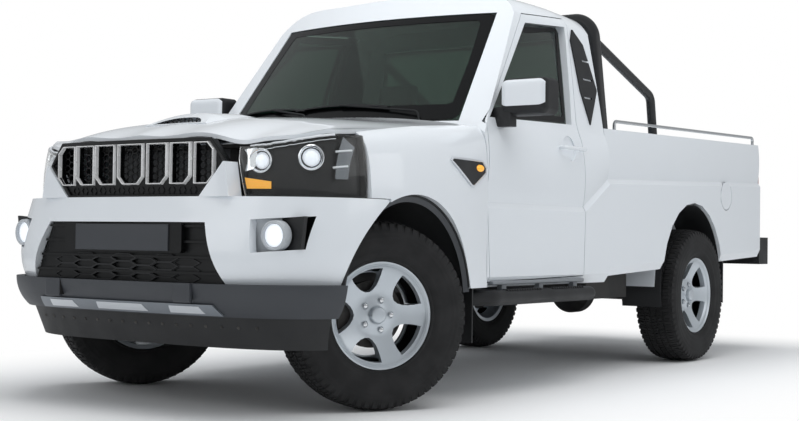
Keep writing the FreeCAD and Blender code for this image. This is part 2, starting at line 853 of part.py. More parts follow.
cut_shares = (-1, -0.5, 0, 0.5, 1)
ahead_of_screen = skin(
    screen_grid(0, cut_shares, (1150, 2100)), screen_grid(-1500, cut_shares, (1150, 2100))
)
door_shares = [
    (0.03, 0.0),
    (0.0, 0.272),
    (0.036, 0.545),
    (0.555, 0.97),
    (1.055, 1.0),
    (0.973, 0.592),
    (0.995, 0.515),
    (1.005, 0.288),
    (0.989, 0.013),
]
window_shares = [(0.076, 0.563), (0.575, 0.94), (1.018, 0.965), (0.92, 0.58)]
vent_shares = [(0.177, 0.864), (0.316, 0.978), (0.656, 0.849), (0.93, 0.42), (0.457, 0.069), (0.245, 0.385)]
vent_slot_shares = [(0.3, 0.18, 0.38), (0.36, 0.32, 0.66), (0.42, 0.5, 0.8), (0.5, 0.68, 0.88)]


def door_points(shares, grow=0.0):
    """Door or window outline in the side view, grown outwards from its middle by a gap."""
    width = v.door_rear - v.door_front
    height = v.door_top - v.door_bottom
    flat = [Vector(at(v.door_front + a * width), v.door_bottom + b * height, 0) for a, b in shares]
    wire = polygon(flat)
    if grow:
        wire = wire.makeOffset2D(grow, 2)
    return [(vertex.Point.x, vertex.Point.y) for vertex in wire.OrderedVertexes]


cab_outer = cab_block(0, 0, 0, v.cab_front, v.cab_rear).cut(ahead_of_screen)
cab_inner = cab_block(
    v.cab_wall, v.roof_wall, v.cab_floor + v.floor_thickness - v.sill_bottom, v.cab_front + 40, v.cab_rear - 50
)
door_inner = cab_block(v.cab_wall, v.roof_wall, 0, v.cab_front - v.overrun, v.cab_rear)
behind_screen = ahead_of_screen.copy()
behind_screen.translate(Vector(0, 45, 0))
cab_inner = cab_inner.cut(behind_screen)
fender_room = [
    block(side * v.scuttle_half_width, side * 1000, at(0), at(v.door_front), 300, 1400)
    if side > 0
    else block(-1000, -v.scuttle_half_width, at(0), at(v.door_front), 300, 1400)
    for side in (1, -1)
]
floor_room = block(-1000, 1000, at(0), at(5000), 0, v.cab_floor)
sill_keep = block(v.rail_half_gap + 200, 1000, at(v.door_front - 50), at(v.cab_rear), 0, v.cab_floor + 1)


def glass_opening():
    """The windscreen and rear window openings, as prisms seen from the front."""
    top = v.header_height
    front = [(-700, 1235), (-640, top), (640, top), (700, 1235)]
    rear = [(-610, 1330), (-560, top - 30), (560, top - 30), (610, 1330)]
    return front_prism(front, at(300), at(1200)), front_prism(rear, at(v.cab_rear - 220), at(v.cab_rear + 180))


def doorway(side):
    """The door's opening in the body side, which leaves the floor up to the sill."""
    low, high = (430, 1100) if side > 0 else (-1100, -430)
    way = side_prism(door_points(door_shares, v.shut_gap), low, high)
    reach = v.cab_half_width * side_shares["sill"] - v.cab_wall - v.shut_gap
    floor = block(-reach, reach, at(v.door_front) - v.overrun, at(v.door_rear) + v.overrun, 0, v.cab_floor + v.floor_thickness)
    return way.cut(floor)


def cab_shell():
    shell = cab_outer.cut(cab_inner)
    for side in (1, -1):
        shell = shell.cut(doorway(side))
    for room in fender_room + list(glass_opening()):
        shell = shell.cut(room)
    middle = floor_room.cut(sill_keep).cut(mirrored(sill_keep))
    return shell.cut(middle)




def door_hinges():
    """Hinge brackets that stand out from the scuttle's sides to the door's inner box."""
    brackets = []
    for side in (1, -1):
        low, high = sorted((side * (v.scuttle_half_width - v.overrun), side * (v.cab_half_width - v.hinge_inset)))
        box = side_prism(door_points(door_shares, v.seat_gap - v.door_step), low, high)
        for share in (0.1, 0.36):
            z = lerp(v.door_bottom, v.door_top, share)
            y = at(v.door_front)
            arm = block(low, high, y - v.hinge_width, y + v.hinge_width, z, z + v.hinge_height)
            brackets.append(arm.cut(box))
    return brackets


shell_shape = cab_shell().multiFuse(door_hinges())
feature("cab_shell", shell_shape)


def door_panel(side):
    """The door cut from the cab's side: its outer skin stands past the inner box, its window is open."""
    low, high = (430, 1100) if side > 0 else (-1100, -430)
    leaf = cab_outer.cut(door_inner).common(side_prism(door_points(door_shares), low, high))
    rim = side_prism(door_points(door_shares, v.overrun), low, high)
    rim = rim.cut(side_prism(door_points(door_shares, -v.door_step), low, high))
    behind_skin = cab_block(v.door_skin, v.door_skin, 0, v.cab_front - v.overrun, v.cab_rear)
    leaf = leaf.cut(rim.common(behind_skin))
    return leaf.cut(side_prism(door_points(window_shares), low, high))


def door_handle(side, panel):
    """Pull bar that stands off the door over a shallow dish."""
    inside = Vector(side * (v.cab_half_width - v.hinge_inset), 0, v.handle_height)
    outside = Vector(side * (v.cab_half_width + v.handle_reach), 0, v.handle_height)
    ahead, behind = Vector(0, at(v.handle_front), 0), Vector(0, at(v.handle_rear), 0)
    bar = tube(
        [inside + ahead, outside + ahead, outside + behind, inside + behind], v.handle_radius, v.handle_bend
    )
    middle = lerp(at(v.handle_front), at(v.handle_rear), 0.5)
    low, high = sorted((side * (v.cab_half_width - v.hinge_inset), side * (v.cab_half_width + v.overrun)))
    dish = Part.makeCylinder(v.handle_dish, high - low, Vector(low, middle, v.handle_height), Vector(1, 0, 0))
    skin_inner = cab_block(v.handle_dish_depth, v.handle_dish_depth, 0, v.cab_front, v.cab_rear)
    return panel.cut(dish.cut(skin_inner)).fuse(bar)


def door_glass(side):
    low, high = (430, 1100) if side > 0 else (-1100, -430)
    pane = side_prism(door_points(window_shares, -v.seat_gap), low, high)
    outer = cab_block(v.cab_wall / 2, v.roof_wall, 0, v.cab_front, v.cab_rear)
    inner = cab_block(v.cab_wall / 2 + v.glass_thickness, v.roof_wall, 0, v.cab_front, v.cab_rear)
    return outer.cut(inner).common(pane)


def mirror_housing(side):
    """Door mirror: a rounded head on a short foot that stands on the door's front corner."""
    x, y, z = side * 965, at(800), 1345
    head = block(-120, 120, -70, 45, -82, 82)
    head = head.makeFillet(30, [e for e in head.Edges if e.BoundBox.YMin < 0])
    head.translate(Vector(x, y, z))
    low, high = sorted((side * 800, side * 900))
    foot = block(low, high, y - 65, y - 10, 1212, 1300)
    return head.fuse(foot)


for side_name, side in sides.items():
    panel = door_handle(side, door_panel(side))
    feature("door_" + side_name, panel)
    feature("door_glass_" + side_name, door_glass(side))
    feature("mirror_" + side_name, mirror_housing(side).cut(panel))


def glazing():
    """Windscreen and rear window, each seated in its opening."""
    top = v.header_height
    heights = (1237, lerp(1237, top, 0.5), top - 3)
    shares = (-0.8, -0.4, 0, 0.4, 0.8)
    behind = v.glass_inset + v.glass_thickness
    screen = skin(screen_grid(v.glass_inset, shares, heights), screen_grid(behind, shares, heights))
    front, rear = glass_opening()
    frame = [(-699, 1236), (-639, top - 1), (639, top - 1), (699, 1236)]
    screen = screen.common(front_prism(frame, at(300), at(1200)))
    frame = [(-609, 1331), (-559, top - 31), (559, top - 31), (609, 1331)]
    back = front_prism(frame, at(v.cab_rear - 30), at(v.cab_rear - 30 + v.glass_thickness))
    return Part.Compound([screen, back])


feature("cab_glass", glazing())


def vent_panels():
    """Louvred panel on each rear quarter of the cab, its slots cut down to the cab's side."""
    outer = cab_block(-v.vent_proud, -v.vent_proud, 0, v.cab_front, v.cab_rear)
    plate = outer.cut(cab_block(-v.seat_gap, -v.seat_gap, 0, v.cab_front, v.cab_rear))
    width, height = v.cab_rear - v.door_rear, v.header_height - v.belt_height

    def spot(a, b):
        return at(v.door_rear + a * width), v.belt_height + b * height

    solids = []
    for side in (1, -1):
        low, high = sorted((side * v.cab_half_width * side_shares["roof"], side * (v.cab_half_width + v.overrun)))
        panel = plate.common(side_prism([spot(a, b) for a, b in vent_shares], low, high))
        for level, start, end in [(c, a, b) for a, c, b in vent_slot_shares]:
            (y0, z), (y1, _) = spot(start, level), spot(end, level)
            panel = panel.cut(block(low, high, y0, y1, z, z + v.vent_slot))
        solids.append(max(panel.Solids, key=lambda solid: solid.Volume))
    return Part.Compound(solids)


feature("vent_panels", vent_panels())



def seats():
    """Two bucket seats with headrests on their runners."""
    solids = []
    floor = v.cab_floor + v.floor_thickness + v.seat_gap
    rear = at(v.cab_rear) - 112
    for x in (380, -380):
        base = block(x - 210, x + 210, rear - 680, rear - 210, floor, floor + 120)
        cushion = block(x - 250, x + 250, rear - 730, rear - 210, floor + 120, floor + 270)
        back = side_prism(
            [(rear - 270, floor + 260), (rear - 140, floor + 260), (rear - 20, 1400), (rear - 110, 1410)], x - 240, x + 240
        )
        rest = side_prism(
            [(rear - 100, 1400), (rear - 30, 1400), (rear, 1560), (rear - 80, 1560)], x - 130, x + 130
        )
        solids.append(base.multiFuse([cushion, back, rest]).removeSplitter())
    return Part.Compound(solids)


feature("seats", seats())


def dashboard():
    """Dash moulding with its raised middle, console and steering column."""
    dash = side_prism(
        [(at(480), 1190), (at(840), 1170), (at(870), 1080), (at(760), 900), (at(620), 880), (at(521), 900)], -742, 742
    )
    hood = side_prism([(at(640), 1190), (at(800), 1200), (at(820), 1160), (at(640), 1160)], -150, 150)
    console = block(-110, 110, at(700), at(1350), v.cab_floor + v.floor_thickness + v.seat_gap, 830)
    column = Part.makeCylinder(32, 194.7, Vector(380, at(760), 1010), Vector(0, 0.9, 0.42))
    lever_foot = Vector(0, at(950), 825)
    lever = Part.makeCylinder(v.lever_radius, v.lever_height, lever_foot)
    knob_foot = lever_foot + Vector(0, 0, v.lever_height - v.knob_height / 2)
    knob = Part.makeCone(v.lever_radius * 1.4, v.knob_radius, v.knob_height, knob_foot)
    room = cab_inner.copy()
    room.translate(Vector(0, v.seat_gap, 0))
    return dash.multiFuse([hood, console, column, lever, knob]).removeSplitter().common(room)


feature("dashboard", dashboard())


def steering_wheel():
    axis = Vector(0, 0.9, 0.42).normalize()
    centre = Vector(380, at(760), 1010) + axis * 215
    ring = Part.makeCylinder(198, 24, centre - axis * 12, axis)
    rim = ring.cut(Part.makeCylinder(172, 60, centre - axis * 30, axis))
    hub = Part.makeCylinder(50, 40, centre - axis * 20, axis)
    spoke = Part.makeCylinder(12, 360, centre - Vector(180, 0, 0), Vector(1, 0, 0))
    down = Part.makeCylinder(12, 180, centre, axis.cross(Vector(1, 0, 0)))
    return rim.multiFuse([hub, spoke, down]).removeSplitter()


feature("steering_wheel", steering_wheel())

mouth_shares = [(-0.6, 0.0), (-0.49, 0.7), (0.49, 0.7), (0.6, 0.0)]
mouth = front_prism(
    [(a * 893, lerp(v.bumper_split, v.shelf_height, b)) for a, b in mouth_shares], at(-900), at(-500)
)


fog_shares = [(0.717, 0.36), (0.694, 0.736), (0.913, 0.781), (0.896, 0.405)]


def fog_outline(side, inset):
    """Fog lamp pocket in the front view, as shares of the bumper's half width and face height."""
    low, high = v.bumper_split, v.shelf_height
    half = v.bumper_half_width
    points = [Vector(a * half, lerp(low, high, b), 0) for a, b in fog_shares]
    wire = polygon(points)
    if inset:
        wire = wire.makeOffset2D(-inset, 2)
    return [(side * vertex.Point.x, vertex.Point.y) for vertex in wire.OrderedVertexes]


def front_bumper():
    bar = nose_solid(bumper_stations, v.bumper_wall)
    pockets = [front_prism(fog_outline(side, 0), at(-900), at(-300)) for side in (1, -1)]
    horns = []
    for side in (1, -1):
        horn = front_prism(
            [
                (side * 373, v.shelf_height - 1),
                (side * 497, v.shelf_height + 133),
                (side * 505, v.shelf_height + 133),
                (side * 529, v.shelf_height - 1),
            ],
            at(-715),
            at(-640),
        )
        horns.append(horn)
    top = v.shelf_height
    shelf = nose_solid([(top - 12, -727, 893, -180), (top, -725, 893, -180)], 150)
    bar = bar.cut(mouth).cut(pockets[0]).cut(pockets[1]).fuse(shelf).cut(arch)
    return bar.multiFuse(horns).removeSplitter()


feature("front_bumper", front_bumper())
feature("bumper_lower", bumper_lower_shape)


def valance():
    stations = [
        (v.valance_bottom, -640, 790, -330),
        (v.bumper_bottom - v.seat_gap, -690, 830, -330),
    ]
    outer = [nose_outline(z, front, half, back, 0) for z, front, half, back in stations]
    inner = [nose_outline(z, front, half, back, 8) for z, front, half, back in stations]
    return skin(outer, inner).cut(arch)


feature("bumper_valance", valance())


slot_centre_shares = (-0.786, -0.545, -0.297, 0.0, 0.297, 0.545, 0.786)
slot_width_shares = (0.19, 0.2, 0.21, 0.273, 0.21, 0.2, 0.19)
blade_shares = (0.1, 0.28, 0.46, 0.64)


def grille_y(x):
    """The grille's front face, bowed forward in the middle."""
    return at(v.grille_bow * (x / v.grille_half_width) ** 2 - v.grille_front)


def grille_band(front, back):
    """A curved slab that follows the grille's face, from one distance behind it to another."""
    low, high = v.shelf_height, v.shelf_height + v.grille_rise
    rows = [[[Vector(s * v.grille_half_width, grille_y(s * v.grille_half_width) + d, z) for z in (low, high)]
             for s in cut_shares] for d in (front, back)]
    return skin(*rows)


def slot_wire(index, grow, y):
    """One of the seven slots; the outer ones are cut off at both outer corners."""
    centre = slot_centre_shares[index] * v.grille_half_width
    half = slot_width_shares[index] * v.grille_half_width / 2
    top, foot = v.shelf_height + v.slot_top, v.shelf_height + v.slot_foot
    left, right = centre - half, centre + half
    cut = v.slot_chamfer
    points = [(left, top), (right, top)]
    if index == 6:
        points = [(left, top), (right - cut, top), (right, top - cut)]
    if index == 0:
        points = [(left, top - cut), (left + cut, top), (right, top)]
    points += [(right, foot + cut), (right - cut, foot)] if index > 2 else [(right, foot)]
    points += [(left + cut, foot), (left, foot + cut)] if index < 4 else [(left, foot)]
    wire = polygon([Vector(x, 0, z) for x, z in points]).makeOffset2D(grow, 2)
    wire.translate(Vector(0, y, 0))
    return wire


def grilles():
    """Bowed grille plate with seven slots, and the lower grille with its blades and blank panel."""
    top, middle = v.shelf_height + v.grille_rise, v.shelf_height + v.grille_shoulder
    low = v.shelf_height + v.seat_gap
    half = v.grille_half_width
    left = [(-v.grille_foot, low), (-half, middle), (-v.grille_top, top)]
    outline = left + [(-x, z) for x, z in reversed(left)]
    upper = grille_band(0, v.grille_thickness).common(front_prism(outline, at(-v.front_overhang), at(-v.grille_foot)))
    for index in range(len(slot_centre_shares)):
        start = at(-v.front_overhang)
        slot = Part.Face(slot_wire(index, 0, start)).extrude(Vector(0, v.front_overhang / 2, 0))
        upper = upper.cut(slot)
    room = [(a * (v.bumper_half_width - v.bumper_wall / 2), lerp(v.bumper_split, v.shelf_height, b)) for a, b in mouth_shares]
    lower = front_prism(room, at(-v.plate_front + v.plate_thickness + 1), at(-715))
    blades = []
    for share in blade_shares:
        z = lerp(v.bumper_split, v.shelf_height, share)
        y = at(-v.plate_front)
        blade = block(-v.bumper_half_width, v.bumper_half_width, y, y + v.blade_depth + v.overrun, z, z + v.blade_height)
        blades.append(blade.common(front_prism(room, at(-v.front_overhang), at(-v.grille_foot))))
    y = at(-v.plate_front) - v.plate_thickness
    plate = block(-v.plate_half_width, v.plate_half_width, y, y + 3 * v.plate_thickness, v.plate_bottom, v.plate_bottom + v.plate_height)
    plate = plate.makeFillet(v.plate_thickness, [e for e in plate.Edges if e.BoundBox.YLength > 2 * v.plate_thickness])
    return Part.Compound([upper, lower.multiFuse(blades + [plate]).removeSplitter()])


feature("grilles", grilles())


def grille_surrounds():
    """Seven bright slot frames with deep bevels, standing on the grille plate."""
    seat = grille_band(-v.seat_gap, v.grille_thickness)
    frames = []
    for index, share in enumerate(slot_centre_shares):
        base = grille_y(share * v.grille_half_width) + v.grille_bow / 2
        front = base - v.grille_bow / 2 - v.frame_depth
        body = loft([slot_wire(index, v.frame_width, base), slot_wire(index, v.frame_draft / 2, front)], True)
        way = loft([slot_wire(index, -v.frame_draft, base), slot_wire(index, 0, front)], True)
        solids = body.cut(way).cut(seat).Solids
        frames.append(max(solids, key=lambda solid: solid.Volume))
    return Part.Compound(frames)


feature("grille_surrounds", grille_surrounds())


def skid_strip():
    """Silver strip that follows the lower bumper's face."""
    stations = [(z, front - v.skid_proud, half + v.skid_proud, back) for z, front, half, back in lower_stations]
    band = nose_solid(stations, v.skid_proud - v.seat_gap)
    top = v.skid_bottom + v.skid_height
    slope = v.skid_height / 2
    half = v.skid_half_width
    outline = [(-half, top), (-half - slope, v.skid_bottom), (half + slope, v.skid_bottom), (half, top)]
    return band.common(front_prism(outline, at(-v.front_overhang - v.overrun), at(-v.grille_foot)))


feature("skid_strip", skid_strip())

lamp_stations = [
    (v.shelf_height + v.seat_gap, -672, 862, -180),
    (lerp(v.shelf_height, v.lamp_top, 0.5), -672, 858, -180),
    (v.lamp_top, -650, 832, -180),
]


def lamp_region(side, rim=0.0):
    """Outline of a headlamp in the front view, shrunk by its rim for the hollow."""
    heights = (-1, 147, 193, 199, 219, 247, 247, -1)
    points = [(x, v.shelf_height + z) for x, z in zip((540, 509, 509, 600, 700, 810, 900, 900), heights)]
    if rim:
        wire = polygon([Vector(x, 0, z) for x, z in points]).makeOffset2D(-rim)
        points = [(vertex.Point.x, vertex.Point.z) for vertex in wire.OrderedVertexes]
    return front_prism([(side * x, z) for x, z in points], at(-800), at(-296) - rim)


def lamp_band(wall, inset):
    stations = [(z, front + inset, half - inset, back) for z, front, half, back in lamp_stations]
    return nose_solid(stations, wall)


def headlamp_lenses():
    band = lamp_band(5, 0)
    return Part.Compound([band.common(lamp_region(side)) for side in (1, -1)])


def headlamp_housings():
    """Deep pan behind each lens, its rim seated on the lens."""
    pan = lamp_band(60, 5 + v.seat_gap)
    hollow = lamp_band(40, -10)
    pans = []
    for side in (1, -1):
        room = hollow.common(lamp_region(side, 8)).cut(block(-1000, 1000, at(-800), at(0), v.shelf_height - 53, v.shelf_height + 9))
        pans.append(pan.common(lamp_region(side)).cut(room))
    return Part.Compound(pans)


feature("headlamp_lenses", headlamp_lenses())
feature("headlamp_housings", headlamp_housings())


def fog_lamps():
    lamps = []
    for side in (1, -1):
        bezel = front_prism(fog_outline(side, 1), at(-610), at(-590))
        z = lerp(v.bumper_split, v.shelf_height, 0.556)
        lamp = Part.makeCylinder(52, 40, Vector(side * 706, at(-650), z), Vector(0, 1, 0))
        lamps.append(bezel.fuse(lamp))
    return Part.Compound(lamps)


feature("fog_lamps", fog_lamps())


# Fenders, bonnet
fender_shares = {
    "z": (0.0, 0.45, 0.78, 0.94, 1.0),
    "x": (0.0, 0.0, 0.12, 0.5, 1.0),
    "under": (0.0, 0.0, 0.1, 0.6, 1.0),
}


def fender(side):
    """Front wing: flared round the arch, rolling over to the bonnet's shut line."""
    stations = [(-290, 888, 1116), (-120, 903, 1140), (80, 905, 1165), (330, 893, 1188), (v.door_front - v.shut_gap, 862, 1205)]
    outer, inner = [], []
    edge = v.bonnet_half_width + v.shut_gap
    for y, half, top in stations:
        row, under = [], []
        for z_share, x_share, lid in zip(fender_shares["z"], fender_shares["x"], fender_shares["under"]):
            x = lerp(half, edge, x_share)
            z = lerp(v.sill_bottom, top, z_share)
            row.append(Vector(side * x, at(y), z))
            under.append(Vector(side * (x - v.panel_wall * (1 - lid)), at(y), z - v.panel_wall * lid))
        outer.append(row)
        inner.append(under)
    wing = skin(outer, inner)
    ahead = side_prism([(at(-400), 400), (at(-400), v.shelf_height + 3), (at(-175), v.shelf_height + 3), (at(-175), 400)], -1000, 1000)
    return wing.cut(arch).cut(ahead)


for side_name, side in sides.items():
    feature("fender_" + side_name, fender(side))


def arch_liners():
    """Dark inner arch over each front wheel."""
    liners = []
    centre_z = v.tyre_radius + 40
    for side in (1, -1):
        start = Vector(side * 400, front_axle_y, centre_z)
        outer = Part.makeCylinder(v.front_arch_radius - v.seat_gap, 478, start, Vector(side, 0, 0))
        inner = Part.makeCylinder(v.front_arch_radius - 9, 478, start, Vector(side, 0, 0))
        below = block(-1000, 1000, at(-600), at(600), -200, v.sill_bottom + 4)
        liners.append(outer.cut(inner).cut(below))
    return Part.Compound(liners)


feature("arch_liners", arch_liners())

bonnet_shares = {
    "x": (-1.0, -0.92, -0.84, -0.72, -0.6, -0.5, -0.3, 0.0, 0.3, 0.5, 0.6, 0.72, 0.84, 0.92, 1.0),
    "nose_y": (1.0, 0.74, 0.5, 0.27, 0.13, 0.07, 0.02, 0.0, 0.02, 0.07, 0.13, 0.27, 0.5, 0.74, 1.0),
    "nose_z": (0.1, -0.22, -0.56, -0.9, -1.0, -0.66, -0.62, -0.63, -0.62, -0.66, -1.0, -0.9, -0.56, -0.22, 0.1),
    "crown": (0.0, 0.17, 0.33, 0.53, 0.69, 0.8, 0.93, 1.0, 0.93, 0.8, 0.69, 0.53, 0.33, 0.17, 0.0),
}
bonnet_step_shares = (0.0, 0.12, 0.3, 0.6, 1.0)


def bonnet_rear_y(x):
    """The bonnet's rear edge, bowed in plan."""
    return v.bonnet_rear - 110 + 110 * (x / v.bonnet_half_width) ** 2


def bonnet():
    """Clamshell bonnet: crowned across, its lip dipping between the grille and each lamp."""
    outer, inner = [], []
    nose_depth = 265
    for x_share, nose_y, nose_z, crown in zip(*bonnet_shares.values()):
        row, under = [], []
        x = x_share * v.bonnet_half_width
        for step in bonnet_step_shares:
            y = lerp(v.bonnet_front + nose_depth * nose_y, bonnet_rear_y(x), step)
            edge = lerp(v.bonnet_edge_front, v.bonnet_edge_rear, step)
            fade = max(0.0, 1 - step / 0.4) ** 2
            z = edge + v.bonnet_crown * crown * (1 - 0.6 * fade) + v.bonnet_dip * nose_z * fade
            row.append(Vector(x, at(y), z))
            under.append(Vector(x, at(y), z - v.bonnet_wall))
        outer.append(row)
        inner.append(under)
    return skin(outer, inner)


bonnet_shape = bonnet()
feature("bonnet", bonnet_shape)


def bonnet_height(y):
    """Height of the bonnet's skin on its centre line."""
    share = (y - v.bonnet_front) / (bonnet_rear_y(0) - v.bonnet_front)
    fade = max(0.0, 1 - share / 0.4) ** 2
    edge = lerp(v.bonnet_edge_front, v.bonnet_edge_rear, share)
    return edge + v.bonnet_crown * (1 - 0.6 * fade) - 0.63 * v.bonnet_dip * fade


def bonnet_scoop():
    """Low air scoop on the bonnet's middle, its slanting mouth open at the front."""
    half, wall = v.scoop_half_width, v.scoop_wall
    stations = [
        (-v.scoop_front - v.overrun, v.scoop_rise, 1),
        (-v.scoop_lip, v.scoop_rise, 0.98),
        (-v.scoop_lip / 2, v.scoop_rise * 0.7, 0.9),
        (v.scoop_rear, -wall, 0.7),
    ]
    wires = []
    for y, rise, spread in stations:
        z = bonnet_height(y)
        low = z - 4 * wall
        across = []
        for share in cut_shares:
            lift = rise - (rise + wall) * abs(share) ** 3
            across.append(Vector(share * half * spread, at(y), z + lift))
        left, right = Vector(-half * spread, at(y), low), Vector(half * spread, at(y), low)
        wires.append(section([across, [across[-1], right], [right, left], [left, across[0]]]))
    hump = loft(wires, True)
    sill, lip = bonnet_height(-v.scoop_front), bonnet_height(-v.scoop_lip) + v.scoop_rise
    front, top = at(-v.scoop_front), lip + v.scoop_rise
    past = 1.15
    end_y, end_z = lerp(front, at(-v.scoop_lip), past), lerp(sill, lip, past)
    clear = front - 3 * v.overrun
    ahead = [(front, sill - v.scoop_rise), (front, sill), (end_y, end_z), (end_y, top), (clear, top)]
    ahead.append((clear, sill - v.scoop_rise))
    hump = hump.cut(side_prism(ahead, -v.bonnet_half_width, v.bonnet_half_width))
    room = loft([wire.copy() for wire in wires[:2]], True)
    room.scale((half - wall) / half, Vector(0, at(-v.scoop_front), sill))
    depth = block(-half, half, front - v.overrun, at(-v.scoop_lip) + v.scoop_depth, sill - wall, top)
    room.translate(Vector(0, v.scoop_depth - v.overrun, -wall / 2))
    hump = hump.cut(room.common(depth))
    seat = bonnet_shape.copy()
    seat.translate(Vector(0, 0, v.seat_gap))
    return max(hump.cut(seat).Solids, key=lambda solid: solid.CenterOfMass.z)


feature("bonnet_scoop", bonnet_scoop())


def cowl():
    """Black scuttle panel between the bonnet's rear edge and the windscreen."""
    outer, inner = [], []
    for share in (-1.0, -0.5, 0.0, 0.5, 1.0):
        x = share * 760
        crown = v.bonnet_crown * (1 - abs(share) ** 1.6)
        z = v.bonnet_edge_rear - 14 + crown
        front = at(bonnet_rear_y(x) + 2 * v.shut_gap)
        outer.append([Vector(x, front, z), Vector(x, screen_y(x, z + 4) - v.seat_gap, z + 4)])
        inner.append([Vector(x, front, z - 14), Vector(x, screen_y(x, z - 10) - v.seat_gap, z - 10)])
    return skin(outer, inner)


cowl_shape = cowl()
feature("cowl", cowl_shape)

wiper_shares = ((0.7, 0.974, 0.7), (-0.1, 0.72, 0.62))


def wiper(pivot, reach, blade):
    """A blade along the glass, carried by a bent arm that rises from the cowl."""
    foot = v.bonnet_edge_rear
    knee = foot + v.wiper_knee
    height = knee + v.wiper_knee / 2
    tip = pivot - reach
    outer, inner = [], []
    for share in cut_shares:
        x = tip + blade * (share + 1) / 2
        z = height - v.wiper_lift * share ** 2
        rows = [z, z + v.blade_rubber]
        inner.append([Vector(x, screen_y(x, level) + v.glass_inset - v.seat_gap, level) for level in rows])
        outer.append([Vector(x, screen_y(x, level) - v.wiper_lift, level) for level in rows])
    middle = tip + blade / 2
    route = [
        Vector(pivot, screen_y(pivot, foot) - v.wiper_lift / 2, foot),
        Vector(pivot - v.wiper_knee / 2, screen_y(pivot, knee) - v.wiper_arm_lift, knee),
        Vector(middle, screen_y(middle, height) - v.wiper_lift, height + v.blade_rubber / 2),
    ]
    arm = tube(route, v.wiper_radius, v.wiper_knee / 2)
    whole = skin(outer, inner).fuse(arm)
    seat = cowl_shape.copy()
    seat.translate(Vector(0, 0, v.seat_gap))
    return max(whole.cut(seat).Solids, key=lambda solid: solid.Volume)


half_screen = v.scuttle_half_width
feature("wipers", Part.Compound([wiper(a * half_screen, b * half_screen, c * half_screen) for a, b, c in wiper_shares]))


# Load bed
def bed_side_section(y, top, bottom):
    """Closed section of one side wall: flat lower panel, ledge, upper panel and top rail."""
    half, wall = v.bed_half_width, v.bed_wall
    share = (y - v.bed_front) / (v.bed_rear - v.bed_front)
    ledge = lerp(1022, 1089, share)
    outer = [
        (half * 0.975, bottom),
        (half, bottom + v.sill_step),
        (half, ledge - v.ledge_drop),
        (half - v.ledge_depth, ledge),
        (half - v.ledge_depth / 2, lerp(ledge, top, 0.5)),
        (half - v.ledge_depth, top),
    ]
    inner = [(half - wall, top), (half - wall, bottom)]
    pts = [Vector(x, at(y), z) for x, z in outer + inner]
    runs = [[pts[0], pts[1]], [pts[1], pts[2]], [pts[2], pts[3]], [pts[3], pts[4], pts[5]]]
    runs += [[pts[5], pts[6]], [pts[6], pts[7]], [pts[7], pts[0]]]
    return section(runs)


def load_bed():
    gate = v.bed_rear - v.gate_thickness - v.shut_gap
    wall_shape = loft(
        [
            bed_side_section(v.bed_front, v.bed_top_front, v.bed_bottom),
            bed_side_section(v.bed_rear, v.bed_top_rear, v.bed_bottom_rear),
        ],
        True,
    )
    arch_points = []
    for i in range(13):
        angle = math.pi * i / 12
        arch_points.append(
            (at(v.rear_arch_centre) + v.rear_arch_radius * math.cos(angle), 445 + v.rear_arch_rise * math.sin(angle))
        )
    arch_points += [(arch_points[-1][0], 300), (arch_points[0][0], 300)]
    rear_arch = side_prism(arch_points, 0, 1200)
    wall_shape = wall_shape.cut(rear_arch)
    floor_z = v.bed_floor - v.bed_floor_thickness
    inside = v.bed_half_width - v.bed_wall
    floor = block(-inside, inside, at(v.bed_front), at(gate), floor_z, v.bed_floor)
    head = block(-inside, inside, at(v.bed_front), at(v.bed_front) + v.bed_wall, floor_z, v.bed_top_front)
    tub_low = 560
    tub = side_prism(arch_points[:-2], tub_low, inside + 10)
    shrink = [
        (at(v.rear_arch_centre) + (y - at(v.rear_arch_centre)) * 0.99, 445 + (z - 445) * 0.99)
        for y, z in arch_points[:-2]
    ]
    tub_room = side_prism(shrink + [(shrink[-1][0], 300), (shrink[0][0], 300)], tub_low + 12, inside + 20)
    tub = tub.cut(tub_room)
    sills = []
    for station in (v.bed_front + 204, v.wheelbase - 590, v.wheelbase + 560, v.wheelbase + 810):
        z = v.rail_bottom + v.rail_kick + v.rail_depth + v.seat_gap
        if station < v.kick_end:
            z = 700
        sills.append(block(-inside, inside, at(station) - 30, at(station) + 30, z, floor_z))
    floor = floor.multiFuse([head] + sills).cut(tub_room).cut(mirrored(tub_room))
    body = floor.multiFuse([wall_shape, mirrored(wall_shape), tub, mirrored(tub)])
    return body.removeSplitter()


bed_shape = load_bed()
flap_x = v.bed_half_width
flap_cut = Part.makeCylinder(v.flap_radius + v.shut_gap, 40, Vector(flap_x - 22, at(v.flap_y), v.flap_z), Vector(1, 0, 0))
hinge_y = at(v.flap_y) - v.flap_radius + v.flap_pin_inset
hinge_room = v.flap_pin + v.seat_gap
flap_notch = block(
    flap_x - 22, flap_x + v.overrun, hinge_y - hinge_room, hinge_y + v.overrun, v.flap_z - 40, v.flap_z + 40
)
feature("load_bed", bed_shape.cut(flap_cut).cut(flap_notch))
flap_disc = Part.makeCylinder(
    v.flap_radius, v.flap_thickness, Vector(flap_x - v.flap_thickness, at(v.flap_y), v.flap_z), Vector(1, 0, 0)
)
flap_pin = Part.makeCylinder(
    v.flap_pin, 16, Vector(flap_x - v.flap_thickness, hinge_y, v.flap_z - 8)
)
feature("fuel_flap", flap_disc.fuse(flap_pin))


